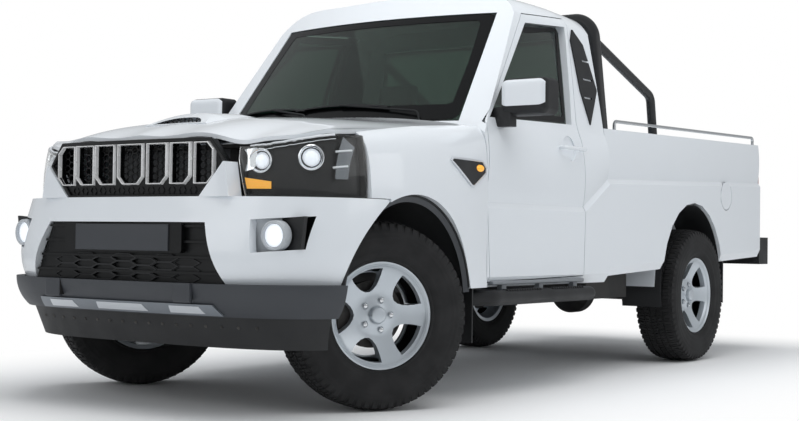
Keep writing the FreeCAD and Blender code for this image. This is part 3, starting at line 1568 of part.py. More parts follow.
def tailgate():
    inside = v.bed_half_width - v.bed_wall - v.shut_gap
    low = v.bed_floor - v.bed_floor_thickness + 10
    leaf = block(-inside, inside, at(v.bed_rear) - v.gate_thickness, at(v.bed_rear), low, v.bed_top_rear - 5)
    recess = block(-120, 120, at(v.bed_rear) - 22, at(v.bed_rear) + 1, v.bed_top_rear - 200, v.bed_top_rear - 110)
    pins = []
    for side in (1, -1):
        start = Vector(side * (inside - 20), at(v.bed_rear), low)
        pins.append(Part.makeCylinder(8, 20 + v.shut_gap - v.seat_gap, start, Vector(side, 0, 0)))
    return leaf.cut(recess).multiFuse(pins)


feature("tailgate", tailgate())


def tail_lamps():
    lamps = []
    for side in (1, -1):
        low, high = sorted((side * (v.bed_half_width - v.bed_wall), side * (v.bed_half_width - 20)))
        lamps.append(block(low, high, at(v.bed_rear) + v.seat_gap, at(v.bed_rear) + 22, 800, 1130))
    return Part.Compound(lamps)


feature("tail_lamps", tail_lamps())


def rear_bumper():
    y0, y1 = at(v.bed_rear + 45), -front_axle_y + v.front_overhang
    corner = v.bumper_step
    plan = [(-800, y0), (800, y0), (800, y1 - corner), (800 - 2 * corner, y1), (2 * corner - 800, y1), (-800, y1 - corner)]
    beam = plan_prism(plan, 560, 735)
    tread = block(-v.plate_half_width, v.plate_half_width, y0 + corner, y1 + 1, 735 - corner / 2, 736)
    beam = beam.cut(tread)
    foot = [block(side * 350 - 25, side * 350 + 25, at(v.rail_rear) + v.seat_gap, y0, 600, 680) for side in (1, -1)]
    return beam.multiFuse(foot)


feature("rear_bumper", rear_bumper())


def roll_bar():
    """Hoop behind the cab with its braces down to the side rails."""
    y = v.bed_front + 75
    foot_z = v.bed_top_front + v.seat_gap
    hoop = tube(
        [
            Vector(752, at(y), foot_z - 5),
            Vector(690, at(y), 1875),
            Vector(-690, at(y), 1875),
            Vector(-752, at(y), foot_z - 5),
        ],
        v.bar_radius,
        110,
    )
    pieces = []
    for side in (1, -1):
        top = Vector(side * 704, at(y), 1760)
        knee = Vector(side * 750, at(v.bed_front + 680), 1516)
        foot = Vector(side * 752, at(v.bed_front + 714), lerp(v.bed_top_front, v.bed_top_rear, 0.33) - 5)
        pieces.append(tube([top, knee, foot], v.brace_radius, 60))
    seat = bed_shape.copy()
    seat.translate(Vector(0, 0, v.seat_gap))
    return hoop.multiFuse(pieces).cut(seat)


feature("roll_bar", roll_bar())


def bed_rails():
    rails = []
    for side in (1, -1):
        x = side * (v.bed_half_width - 26)
        rise = 45
        start, end = v.bed_front + 140, v.bed_rear - 80
        points = []
        for share in (0.0, 1.0):
            y = lerp(start, end, share)
            z = lerp(v.bed_top_front, v.bed_top_rear, (y - v.bed_front) / (v.bed_rear - v.bed_front))
            points.append(Vector(x, at(y), z))
        low, high = points
        up = Vector(0, 0, rise)
        down = Vector(0, 0, -5)
        seat = bed_shape.copy()
        seat.translate(Vector(0, 0, v.seat_gap))
        rail = tube([low + down, low + up, high + up, high + down], v.rail_rod_radius, 22)
        rails.append(rail.cut(seat))
    return Part.Compound(rails)


feature("bed_rails", bed_rails())


def side_steps():
    steps = []
    for side in (1, -1):
        x = side * 880
        route = [
            Vector(side * 800, at(560), 440),
            Vector(x, at(640), 440),
            Vector(x, at(1560), 440),
            Vector(side * 800, at(1620), 440),
        ]
        bar = tube(route, 34, 40)
        arms = []
        for y in (760, 1270):
            low, high = sorted((side * (v.rail_half_gap + v.rail_width + v.seat_gap), side * 860))
            arms.append(block(low, high, at(y) - 20, at(y) + 20, 452, 470))
        steps.append(bar.multiFuse(arms))
    return Part.Compound(steps)


feature("side_steps", side_steps())


def mud_flaps():
    flaps = []
    for side in (1, -1):
        for y, x0, x1, z0, z1 in ((478, 650, 870, 250, 487.7), (v.wheelbase + 410, 590, 815, 330, 583.5)):
            low, high = sorted((side * x0, side * x1))
            flaps.append(block(low, high, at(y), at(y) + 8, z0, z1))
    return Part.Compound(flaps)


feature("mud_flaps", mud_flaps())

radiator = doc.addObject("Part::Box", "radiator")
bind(radiator, Length="Sizes.radiator_width", Width="Sizes.radiator_depth", Height="Sizes.radiator_height")
place(radiator, "-Sizes.radiator_width / 2", FRONT_AXLE + " + Sizes.radiator_front", "Sizes.radiator_bottom")
keep(radiator, "radiator")


def radiator_support():
    """Posts on the frame rails, the cross panel over them and the bonnet's rubber stops."""
    post_x = v.radiator_width / 2 + v.seat_gap
    top = v.radiator_bottom + v.radiator_height
    y0, y1 = at(v.radiator_front) - 10, at(v.radiator_front) + v.radiator_depth + 10
    pieces = [block(-500, 500, y0 - 60, y1, top + v.seat_gap, top + 14)]
    for side in (1, -1):
        low, high = sorted((side * post_x, side * (post_x + 40)))
        base = v.rail_bottom + v.rail_depth + v.seat_gap
        pieces.append(block(low, high, y0, y1, base, top + 5))
        stop = Part.makeCylinder(14, 300, Vector(side * 430, y0 - 20, top + 5))
        lid = bonnet_shape.copy()
        lid.translate(Vector(0, 0, -v.seat_gap))
        rest = stop.cut(lid)
        pieces.append(min(rest.Solids, key=lambda solid: solid.BoundBox.ZMin))
    return pieces[0].multiFuse(pieces[1:]).removeSplitter()


feature("radiator_support", radiator_support())


doc.recompute()
for obj in doc.Objects:
    if "Invalid" in obj.State or "Error" in obj.State:
        raise ValueError(f"{obj.Label}: {obj.State}")
for obj in parts:
    if obj.Shape.isNull() or not obj.Shape.isValid():
        raise ValueError(f"{obj.Label}: shape not valid")
os.makedirs("parts", exist_ok=True)
for obj in parts:
    obj.Shape.exportStep(f"parts/{obj.Label}.step")
box = Part.Compound([obj.Shape for obj in parts]).BoundBox
print(f"{len(parts)} sub-parts, x {box.XMin:.1f}..{box.XMax:.1f}, y {box.YMin:.1f}..{box.YMax:.1f}, z {box.ZMin:.1f}..{box.ZMax:.1f}")
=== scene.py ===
import bpy
import bmesh
import math
from mathutils import Matrix, Vector
from mathutils.bvhtree import BVHTree


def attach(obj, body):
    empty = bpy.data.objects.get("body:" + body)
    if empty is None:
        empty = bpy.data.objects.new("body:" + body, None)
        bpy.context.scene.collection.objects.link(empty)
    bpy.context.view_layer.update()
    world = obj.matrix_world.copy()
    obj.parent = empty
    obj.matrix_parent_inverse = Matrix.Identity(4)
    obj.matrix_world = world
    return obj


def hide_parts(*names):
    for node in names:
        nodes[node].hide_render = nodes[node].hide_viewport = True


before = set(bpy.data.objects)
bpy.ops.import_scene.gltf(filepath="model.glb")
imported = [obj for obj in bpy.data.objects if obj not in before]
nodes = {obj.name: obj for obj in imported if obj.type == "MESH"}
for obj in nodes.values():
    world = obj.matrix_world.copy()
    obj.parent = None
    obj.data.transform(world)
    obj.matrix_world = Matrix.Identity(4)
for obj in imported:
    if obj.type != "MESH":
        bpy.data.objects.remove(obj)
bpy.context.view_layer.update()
scene = bpy.context.scene
hands = ((1, "left"), (-1, "right"))
corners = ("front_left", "front_right", "rear_left", "rear_right")


def linearColour(hexText, alpha=1.0):
    values = [int(hexText[i:i + 2], 16) / 255 for i in (1, 3, 5)]
    return tuple(c / 12.92 if c <= 0.04045 else ((c + 0.055) / 1.055) ** 2.4 for c in values) + (alpha,)


def addNode(tree, kind, inputs=None, links=None, **settings):
    node = tree.nodes.new(kind)
    for name, value in settings.items():
        setattr(node, name, value)
    for name, value in (inputs or {}).items():
        node.inputs[name].default_value = value
    for name, source in (links or {}).items():
        tree.links.new(source, node.inputs[name])
    return node


def addSum(tree, operation, first, second=0.0):
    # a sum of two sides, each the output of a node or a plain number
    node = addNode(tree, "ShaderNodeMath", operation=operation)
    for index, side in enumerate((first, second)):
        if isinstance(side, float):
            node.inputs[index].default_value = side
        else:
            tree.links.new(side, node.inputs[index])
    return node.outputs[0]


def addTexture(tree, kind, inputs, **settings):
    place = addNode(tree, "ShaderNodeTexCoord")
    return addNode(tree, kind, inputs, {"Vector": place.outputs["Object"]}, **settings)


def addBump(tree, shader, height, strength, distance, socket="Normal"):
    bump = addNode(tree, "ShaderNodeBump", {"Strength": strength, "Distance": distance}, {"Height": height})
    tree.links.new(bump.outputs["Normal"], shader.inputs[socket])


def grainBump(tree, shader, grainMm, depthMm, strength, kind="noise"):
    # bump whose grain is that many millimetres across
    if kind == "noise":
        grain = addTexture(tree, "ShaderNodeTexNoise", {"Scale": 1000 / grainMm, "Detail": 3.0})
        height = grain.outputs["Fac"]
    else:
        height = addTexture(tree, "ShaderNodeTexVoronoi", {"Scale": 1000 / grainMm}).outputs["Distance"]
    addBump(tree, shader, height, strength, depthMm / 1000)


def mottle(tree, shader, low, high, patchMm):
    # slow change of the roughness over the surface, between two limits
    noise = addTexture(tree, "ShaderNodeTexNoise", {"Scale": 1000 / patchMm, "Detail": 4.0})
    limits = {"To Min": low, "To Max": high, "From Min": 0.3, "From Max": 0.7}
    ramp = addNode(tree, "ShaderNodeMapRange", limits, {"Value": noise.outputs["Fac"]})
    tree.links.new(ramp.outputs["Result"], shader.inputs["Roughness"])


def colourMottle(tree, shader, hexLow, hexHigh, patchMm):
    noise = addTexture(tree, "ShaderNodeTexNoise", {"Scale": 1000 / patchMm, "Detail": 5.0})
    ramp = addNode(tree, "ShaderNodeValToRGB", links={"Fac": noise.outputs["Fac"]})
    for stop, text, share in zip(ramp.color_ramp.elements, (hexLow, hexHigh), (0.35, 0.65)):
        stop.color = linearColour(text)
        stop.position = share
    tree.links.new(ramp.outputs["Color"], shader.inputs["Base Color"])


def startMaterial(name, hexText, roughness, metallic=0.0, **sockets):
    mat = bpy.data.materials.new(name)
    mat.use_nodes = True
    shader = mat.node_tree.nodes["Principled BSDF"]
    shader.inputs["Base Color"].default_value = linearColour(hexText)
    shader.inputs["Roughness"].default_value = roughness
    shader.inputs["Metallic"].default_value = metallic
    for key, value in sockets.items():
        shader.inputs[key.replace("_", " ")].default_value = value
    return mat, mat.node_tree, shader


materials = {}


def addFinish(key, name, hexText, roughness, metallic=0.0, patches=None, grain=None, spread=None, **sockets):
    # patches: two colours and their millimetres; grain: as grainBump; spread: as mottle
    materials[key], tree, shader = startMaterial(name, hexText, roughness, metallic, **sockets)
    for call, values in ((colourMottle, patches), (grainBump, grain), (mottle, spread)):
        if values:
            call(tree, shader, *values)
    return tree, shader


def makeMaterials():
    # two-coat car enamel sprayed and baked: a clear gloss over white, with a faint orange peel
    tree, shader = addFinish("paint", "whiteBakedEnamel", "#E6EBF0", 0.38, spread=(0.34, 0.42, 420),
                             Coat_Weight=1.0, Coat_Roughness=0.04)
    peel = addTexture(tree, "ShaderNodeTexNoise", {"Scale": 160.0, "Detail": 1.0})
    addBump(tree, shader, peel.outputs["Fac"], 0.05, 0.0004, "Coat Normal")
    # natural and carbon-black rubber, moulded: matt, a little paler where it is dusty
    addFinish("tyre", "mouldedTyreRubber", "#1B1B1C", 0.82, patches=("#171718", "#232324", 90),
              grain=(1.6, 0.25, 0.5))
    # cast aluminium wheel under silver lacquer
    addFinish("alloy", "silverLacqueredAlloy", "#C6CDD3", 0.3, 0.65, grain=(0.9, 0.03, 0.25),
              spread=(0.3, 0.4, 60), Coat_Weight=0.6, Coat_Roughness=0.12)
    # black polypropylene moulded with a leather-like grain
    addFinish("blackPlastic", "grainedBlackPolypropylene", "#1A1B1D", 0.56, grain=(1.4, 0.12, 0.5, "cells"),
              spread=(0.5, 0.64, 120))
    # dark grey polypropylene of the lower bumper, moulded in colour
    addFinish("greyPlastic", "grainedGreyPolypropylene", "#3A3D42", 0.5, grain=(1.4, 0.1, 0.45, "cells"),
              spread=(0.44, 0.56, 150))
    # gloss black lacquer on ABS
    addFinish("glossBlack", "blackLacqueredAbs", "#08090A", 0.34, spread=(0.3, 0.42, 200),
              Specular_IOR_Level=0.35)
    # decorative chrome electroplated on ABS
    addFinish("chrome", "platedChrome", "#DCDEE0", 0.09, 1.0, spread=(0.06, 0.13, 80))
    # chrome plated over a satin base, for the slot frames: soft, pale reflections
    addFinish("satinChrome", "satinPlatedChrome", "#FFFFFF", 0.22, 0.2, spread=(0.22, 0.32, 60),
              Coat_Weight=1.0, Coat_Roughness=0.05)
    # satin grey paint on plastic, for the skid strip, and a silver one for its inlays
    addFinish("skidGrey", "satinGreyPaint", "#7D838A", 0.4, 0.3, grain=(0.8, 0.02, 0.2),
              Coat_Weight=0.3, Coat_Roughness=0.25)
    addFinish("silverPaint", "satinSilverPaint", "#D6DADF", 0.34, 0.35, grain=(0.8, 0.02, 0.2),
              Coat_Weight=0.4, Coat_Roughness=0.2)
    # drawn and polished stainless rod
    addFinish("steel", "polishedStainlessSteel", "#C9CBCD", 0.2, 1.0, spread=(0.15, 0.28, 30))
    # laminated windscreen glass with a green tint in its thickness
    addFinish("glass", "tintedLaminatedGlass", "#54695F", 0.02, spread=(0.0, 0.03, 300),
              Transmission_Weight=1.0, IOR=1.5, Specular_IOR_Level=0.3)
    # clear polycarbonate with a hard coat
    addFinish("lens", "clearPolycarbonate", "#F4F6F7", 0.02, spread=(0.0, 0.03, 120),
              Transmission_Weight=1.0, IOR=1.3, Specular_IOR_Level=0.2)
    # amber and red acrylic, moulded with flutes
    addFinish("amber", "amberAcrylic", "#FFB22E", 0.2, grain=(5.0, 0.4, 0.3, "cells"), IOR=1.49,
              Coat_Weight=0.5, Emission_Color=linearColour("#FFB63A"), Emission_Strength=0.35)
    addFinish("redLens", "redAcrylic", "#9E0F12", 0.14, grain=(6.0, 0.4, 0.3, "cells"),
              Transmission_Weight=0.2, IOR=1.49, Coat_Weight=0.6)
    # satin black chassis paint, dulled by road dust
    addFinish("chassis", "dustyChassisPaint", "#1D1D1E", 0.6, patches=("#161617", "#2A2826", 140),
              grain=(4.0, 0.2, 0.35))
    # sand-cast iron and aluminium, oily
    addFinish("casting", "sandCastIron", "#4A4948", 0.62, 0.6, patches=("#3B3A39", "#5A5856", 60),
              grain=(2.5, 0.5, 0.5))
    # extruded EPDM seal
    addFinish("seal", "epdmSeal", "#131314", 0.7, grain=(1.0, 0.08, 0.3))
    # powder coat on the steel roll bar
    addFinish("powder", "blackPowderCoat", "#17181A", 0.42, grain=(1.2, 0.08, 0.35), Coat_Weight=0.2,
              Coat_Roughness=0.3)
    # grey soft-touch moulding of the cabin
    addFinish("trim", "greySoftMoulding", "#54565A", 0.68, grain=(1.5, 0.15, 0.5, "cells"),
              spread=(0.62, 0.75, 100))
    # pale headliner felt
    addFinish("felt", "paleHeadlinerFelt", "#A9ABAC", 0.95, grain=(0.9, 0.2, 0.6), Sheen_Weight=0.3)
    # grey polyester seat cloth, woven
    tree, shader = addFinish("cloth", "wovenSeatCloth", "#3E4147", 0.92, Sheen_Weight=0.35,
                             Sheen_Roughness=0.4)
    yarn = {"Scale": 160.0, "Distortion": 0.6}
    warp, weft = (addTexture(tree, "ShaderNodeTexWave", yarn, bands_direction=way) for way in ("X", "Z"))
    weave = addSum(tree, "MULTIPLY", warp.outputs["Fac"], weft.outputs["Fac"])
    addBump(tree, shader, weave, 0.5, 0.0005)
    # ground optical glass of a lit projector, with the lamp glowing behind it
    addFinish("litLens", "litProjectorGlass", "#E9EFF4", 0.06, spread=(0.04, 0.1, 15), IOR=1.52,
              Coat_Weight=1.0, Emission_Color=linearColour("#F4F8FF"), Emission_Strength=0.55)
    # opal polycarbonate light guide, evenly pale
    addFinish("paleDiffuser", "opalPolycarbonate", "#E6EAEE", 0.35, grain=(3.0, 0.1, 0.2), Coat_Weight=0.5)
    # moulded ABS with a satin lacquer, grey and pale grey
    addFinish("satinGrey", "satinGreyAbs", "#7B8085", 0.42, grain=(1.2, 0.04, 0.25), Coat_Weight=0.3)
    addFinish("paleGrey", "paleGreyAbs", "#B7BCC1", 0.4, grain=(1.2, 0.04, 0.25), Coat_Weight=0.4)
    # ceramic frit fired onto the glass: black, even and slightly shiny
    addFinish("glassPrint", "firedCeramicFrit", "#08090A", 0.2, spread=(0.16, 0.26, 40),
              Specular_IOR_Level=0.3)
    # silvered mirror glass
    addFinish("mirrorSilver", "silveredMirrorGlass", "#D9DEE2", 0.02, 1.0, spread=(0.01, 0.04, 60))
    # black foamed polyurethane skin on the steering wheel
    addFinish("trimDark", "foamedPolyurethane", "#1F2023", 0.6, grain=(1.0, 0.1, 0.5, "cells"))
    # galvanised radiator fins
    tree, shader = addFinish("fins", "radiatorFins", "#6E7072", 0.45, 0.8)
    fins = addTexture(tree, "ShaderNodeTexWave", {"Scale": 60.0}, bands_direction="X")
    addBump(tree, shader, fins.outputs["Fac"], 0.6, 0.002)


makeMaterials()
print("materials ready:", len(materials))

cameraView = {"lens": 61.47, "place": (4.036, -6.302, 0.705), "yaw": 35.274, "pitch": 1.127, "roll": 0.746}


def addCamera():
    yaw, pitch, roll = (math.radians(cameraView[k]) for k in ("yaw", "pitch", "roll"))
    ahead = Vector((-math.sin(yaw) * math.cos(pitch), math.cos(yaw) * math.cos(pitch), math.sin(pitch)))
    right = Vector((math.cos(yaw), math.sin(yaw), 0))
    up = right.cross(ahead)
    side = math.cos(roll) * right + math.sin(roll) * up
    top = math.cos(roll) * up - math.sin(roll) * right
    turn = Matrix((side, top, -ahead)).transposed()
    data = bpy.data.cameras.new("photoCamera")
    data.lens = cameraView["lens"]
    data.sensor_width = 36
    data.clip_end = 200
    camera = bpy.data.objects.new("photoCamera", data)
    camera.matrix_world = Matrix.Translation(cameraView["place"]) @ turn.to_4x4()
    scene.collection.objects.link(camera)
    scene.camera = camera


addCamera()
print("camera placed")

studio = {
    "worldLevel": 0.5, "floorSize": 60, "aim": (0, 0, 0.7),
    # half sizes of the patch of floor that keeps its shadow, and how far past it the paper turns white
    "shadowHalves": (0.9, 2.3), "whiteFrom": 0.1, "whiteTo": 1.5,
    "top": {"place": (0.6, -0.6, 5.2), "size": (6.0, 7.0), "power": 250},
    "front": {"place": (-1.5, -7.5, 3.2), "size": (5.0, 3.0), "power": 45},
    "side": {"place": (6.5, 1.5, 3.0), "size": (6.0, 2.5), "power": 40},
}
pureWhite = {"Color": (1, 1, 1, 1), "Strength": 1.0}


def addWorld():
    # pale light on the truck, plain white for the camera
    world = bpy.data.worlds.new("paleStudio")
    world.use_nodes = True
    scene.world = world
    tree = world.node_tree
    tree.nodes.clear()
    path = addNode(tree, "ShaderNodeLightPath")
    seen = addSum(tree, "MAXIMUM", path.outputs["Is Camera Ray"], path.outputs["Is Transmission Ray"])
    level = {"Color": linearColour("#F2F5F8"), "Strength": studio["worldLevel"]}
    light = addNode(tree, "ShaderNodeBackground", level)
    white = addNode(tree, "ShaderNodeBackground", pureWhite)
    mix = addNode(tree, "ShaderNodeMixShader", links={0: seen, 1: light.outputs[0], 2: white.outputs[0]})
    addNode(tree, "ShaderNodeOutputWorld", links={"Surface": mix.outputs[0]})


def addFloor():
    bpy.ops.mesh.primitive_plane_add(size=studio["floorSize"], location=(0, 0, 0))
    floor = bpy.context.object
    floor.name = "studioFloor"
    mat, tree, shader = startMaterial("mattFloorPaper", "#F4F5F6", 0.95)
    mottle(tree, shader, 0.9, 1.0, 900)
    # away from the truck the camera sees the paper as plain white; near it the shadow stays
    place = addNode(tree, "ShaderNodeTexCoord")
    apart = addNode(tree, "ShaderNodeSeparateXYZ", links={0: place.outputs["Object"]})
    squares = []
    for axis, half in enumerate(studio["shadowHalves"]):
        over = addSum(tree, "SUBTRACT", addSum(tree, "ABSOLUTE", apart.outputs[axis]), half)
        squares.append(addSum(tree, "POWER", addSum(tree, "MAXIMUM", over, 0.0), 2.0))
    far = addSum(tree, "POWER", addSum(tree, "ADD", *squares), 0.5)
    limits = {"From Min": studio["whiteFrom"], "From Max": studio["whiteTo"]}
    fade = addNode(tree, "ShaderNodeMapRange", limits, {"Value": far}, interpolation_type="SMOOTHSTEP")
    path = addNode(tree, "ShaderNodeLightPath")
    seen = addSum(tree, "MULTIPLY", fade.outputs["Result"], path.outputs["Is Camera Ray"])
    white = addNode(tree, "ShaderNodeEmission", pureWhite)
    mix = addNode(tree, "ShaderNodeMixShader", links={0: seen, 1: shader.outputs[0], 2: white.outputs[0]})
    tree.links.new(mix.outputs[0], tree.nodes["Material Output"].inputs["Surface"])
    floor.data.materials.append(mat)


def addLights():
    for name in ("top", "front", "side"):
        spec = studio[name]
        data = bpy.data.lights.new(name + "Softbox", "AREA")
        data.shape = "RECTANGLE"
        data.size, data.size_y = spec["size"]
        data.energy = spec["power"]
        lamp = bpy.data.objects.new(name + "Softbox", data)
        lamp.location = spec["place"]
        aim = Vector(studio["aim"]) - lamp.location
        lamp.rotation_euler = aim.to_track_quat("-Z", "Y").to_euler()
        lamp.visible_glossy = name != "top"
        scene.collection.objects.link(lamp)


addWorld()
addFloor()
addLights()
scene.view_settings.view_transform = "Standard"
print("studio lit")

nodeFinishes = {
    "paint": ("cab_shell", "door_left", "door_right", "front_bumper", "fender_left", "fender_right", "bonnet",
              "load_bed", "fuel_flap", "tailgate", "bonnet_scoop"),
    "tyre": tuple("tyre_" + corner for corner in corners) + ("spare_wheel",),
    "alloy": tuple("rim_" + corner for corner in corners),
    "casting": ("knuckle_left", "knuckle_right", "engine_block", "driveline"),
    "chassis": ("chassis_frame", "front_suspension", "rear_axle", "fuel_tank", "radiator_support", "exhaust"),
    "glass": ("cab_glass", "door_glass_left", "door_glass_right"),
    "blackPlastic": ("bumper_valance", "arch_liners", "cowl", "rear_bumper", "side_steps", "mud_flaps",
                     "fog_lamps", "mirror_left", "mirror_right", "steering_wheel", "vent_panels", "wipers"),
    "greyPlastic": ("bumper_lower",),
    "glossBlack": ("headlamp_housings", "grilles"),
    "skidGrey": ("skid_strip",),
    "trim": ("dashboard",),
    "cloth": ("seats",),
    "satinChrome": ("grille_surrounds",),
    "lens": ("headlamp_lenses",),
    "redLens": ("tail_lamps",),
    "powder": ("roll_bar",),
    "steel": ("bed_rails",),
    "fins": ("radiator",),
}
shadingSpec = {"weld": 0.00004, "crease": 24}


def panelShading():
    # welds a node's loose triangles and shades them smooth up to its creases
    group = bpy.data.node_groups.new("panelShading", "GeometryNodeTree")
    group.interface.new_socket("Geometry", in_out="INPUT", socket_type="NodeSocketGeometry")
    group.interface.new_socket("Geometry", in_out="OUTPUT", socket_type="NodeSocketGeometry")
    start = addNode(group, "NodeGroupInput")
    weld = addNode(group, "GeometryNodeMergeByDistance", {"Distance": shadingSpec["weld"]},
                   {"Geometry": start.outputs[0]})
    smooth = addNode(group, "GeometryNodeSetShadeSmooth", {"Shade Smooth": True},
                     {"Geometry": weld.outputs[0]}, domain="FACE")
    angle = addNode(group, "GeometryNodeInputMeshEdgeAngle")
    crease = addNode(group, "FunctionNodeCompare", {1: math.radians(shadingSpec["crease"])},
                     {0: angle.outputs[0]}, operation="GREATER_THAN", data_type="FLOAT")
    sharp = addNode(group, "GeometryNodeSetShadeSmooth", {"Shade Smooth": False},
                    {"Geometry": smooth.outputs[0], "Selection": crease.outputs[0]}, domain="EDGE")
    addNode(group, "NodeGroupOutput", links={0: sharp.outputs[0]})
    return group


def dressNodes():
    shading = panelShading()
    for finish, names in nodeFinishes.items():
        for name in names:
            obj = nodes[name]
            obj.data.materials.clear()
            obj.data.materials.append(materials[finish])
            if finish != "satinChrome":
                obj.modifiers.new("panelShading", "NODES").node_group = shading


dressNodes()
print("nodes dressed")


def deselectAll():
    if bpy.context.mode != "OBJECT":
        bpy.ops.object.mode_set(mode="OBJECT")
    bpy.ops.object.select_all(action="DESELECT")


def makeActive(obj):
    deselectAll()
    obj.select_set(True)
    bpy.context.view_layer.objects.active = obj


def openMesh(obj, mode="FACE", everything=False):
    makeActive(obj)
    bpy.ops.object.mode_set(mode="EDIT")
    bpy.ops.mesh.select_mode(type=mode)
    bpy.ops.mesh.select_all(action="SELECT" if everything else "DESELECT")


def closeMesh():
    bpy.ops.object.mode_set(mode="OBJECT")


def closeOutward():
    # turns all faces of the open mesh outward and leaves it
    bpy.ops.mesh.select_all(action="SELECT")
    bpy.ops.mesh.normals_make_consistent(inside=False)
    closeMesh()


def pick(obj, kind, test):
    # selects the faces, edges or verts of the open mesh that pass a test
    bpy.ops.mesh.select_all(action="DESELECT")
    mesh = bmesh.from_edit_mesh(obj.data)
    for element in getattr(mesh, kind):
        if test(element):
            element.select_set(True)
    mesh.select_flush_mode()
    bmesh.update_edit_mesh(obj.data)


def insetFaces(obj, test, thickness, depth):
    # insets the faces whose normal passes a test, and sinks or lifts what is left of them
    openMesh(obj)
    pick(obj, "faces", lambda face: test(face.normal))
    bpy.ops.mesh.inset(thickness=thickness, depth=depth)
    closeMesh()


def applyModifiers(obj):
    makeActive(obj)
    for modifier in list(obj.modifiers):
        bpy.ops.object.modifier_apply(modifier=modifier.name)
    return obj


def roundEdges(obj, width, segments=2, angle=30):
    bevel = obj.modifiers.new("rounding", "BEVEL")
    bevel.width = width
    bevel.segments = segments
    bevel.limit_method = "ANGLE"
    bevel.angle_limit = math.radians(angle)
    bevel.harden_normals = False
    return applyModifiers(obj)


def cutBy(obj, cutter):
    cut = obj.modifiers.new("cut", "BOOLEAN")
    cut.object = cutter
    cut.operation = "DIFFERENCE"
    cut.solver = "EXACT"
    applyModifiers(obj)
    bpy.data.objects.remove(cutter)


def copyOf(obj, name, matrix):
    twin = obj.copy()
    twin.data = obj.data.copy()
    twin.name = name
    scene.collection.objects.link(twin)
    twin.data.transform(matrix)
    if matrix.determinant() < 0:
        twin.data.flip_normals()
    return twin


def joinPieces(name, pieces):
    deselectAll()
    for piece in pieces:
        piece.select_set(True)
    bpy.context.view_layer.objects.active = pieces[0]
    bpy.ops.object.join()
    obj = bpy.context.object
    obj.name = name
    return obj


def placeInMesh(obj):
    makeActive(obj)
    bpy.ops.object.transform_apply(location=True, rotation=True, scale=True)
    return obj


def startBlock(name, low, high):
    deselectAll()
    low, high = Vector(low), Vector(high)
    bpy.ops.mesh.primitive_cube_add(size=1, location=(low + high) / 2, scale=high - low)
    bpy.context.object.name = name
    return placeInMesh(bpy.context.object)


def sideBlock(name, side, xs, ys, zs):
    # block on the left (side 1) or right (side -1), given as if on the left
    x0, x1 = sorted(side * x for x in xs)
    return startBlock(name, (x0, ys[0], zs[0]), (x1, ys[1], zs[1]))


def startRod(name, start, end, radius, sides=24):
    deselectAll()
    start, end = Vector(start), Vector(end)
    axis = end - start
    bpy.ops.mesh.primitive_cylinder_add(vertices=sides, radius=radius, depth=axis.length,
                                        location=(start + end) / 2,
                                        rotation=axis.to_track_quat("Z", "Y").to_euler())
    bpy.context.object.name = name
    return placeInMesh(bpy.context.object)


def startLoop(name, points, fill):
    # a ring of corners, one at each point
    deselectAll()
    bpy.ops.mesh.primitive_circle_add(vertices=len(points), radius=1, fill_type=fill, location=(0, 0, 0))
    obj = bpy.context.object
    obj.name = name
    for vertex, point in zip(obj.data.vertices, points):
        vertex.co = point
    return obj


def extrudeOpen(push):
    # pushes out what is selected in the open mesh
    bpy.ops.mesh.extrude_region_move(TRANSFORM_OT_translate={"value": push})
    closeOutward()


def spinProfile(name, profile, steps):
    # turns a closed profile of (x, radius) about the X axis
    obj = startLoop(name, [(x, 0, radius) for x, radius in profile], "NOTHING")
    openMesh(obj, "EDGE", True)
    bpy.ops.mesh.spin(steps=steps, angle=2 * math.pi, center=(0, 0, 0), axis=(1, 0, 0))
    bpy.ops.mesh.select_all(action="SELECT")
    bpy.ops.mesh.remove_doubles(threshold=0.00002)
    closeOutward()
    return obj


def roundProfile(shares, radius):
    # profile of (x, share of the radius); a share of 0 is a hair off the axis
    return [(x, radius * share if share else 0.0002) for x, share in shares]


def finishPiece(obj, finish, body="truck", angle=32, stands=()):
    placeInMesh(obj)
    bpy.ops.object.shade_smooth_by_angle(angle=math.radians(angle))
    obj.data.materials.clear()
    obj.data.materials.append(materials[finish])
    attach(obj, body)
    if stands:
        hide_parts(*stands)


def finishPair(piece, finish):
    # a piece on the left and its mirror image on the right
    other = copyOf(piece, piece.name + "Right", Matrix.Diagonal((-1, 1, 1, 1)))
    finishPiece(piece, finish)
    finishPiece(other, finish)


def smoothPath(points, count):
    # evenly shared points on a smooth line through the given ones
    points = [Vector(p) for p in points]
    ends = [2 * points[0] - points[1]] + points + [2 * points[-1] - points[-2]]
    path = []
    for i in range(len(points) - 1):
        a, b, c, d = ends[i:i + 4]
        for k in range(count):
            t = k / count
            bend = (2 * a - 5 * b + 4 * c - d) * t * t + (3 * b - a - 3 * c + d) * t ** 3
            path.append(0.5 * ((2 * b) + (c - a) * t + bend))
    path.append(points[-1])
    return path


def around(radius, degrees, x=0.0):
    # place on a circle about the X axis
    a = math.radians(degrees)
    return Vector((x, radius * math.cos(a), radius * math.sin(a)))


wheelSpec = {
    "lipRadius": 0.219, "seatRadius": 0.2047, "halfWidth": 0.094, "wellRadius": 0.178, "wall": 0.006,
    "spokes": 5, "nutCircle": 0.0635, "nutRadius": 0.0102, "pocketRadius": 0.0148, "grooveRadius": 0.0075,
    "windowInner": 0.100, "windowOuter": 0.186, "windowSpread": 21.5, "windowMiddle": 0.15,
    "windowShares": ((0.72, 0.86), (0.46, 0.69), (0.24, 0.5), (0.08, 0.27)),
    "edge": 0.0022, "steps": 120, "height": 0.387, "kingpin": 0.655, "steerAngle": -30,
    "axles": {"front": (0.712, -1.75), "rear": (0.716, 1.29)},
}


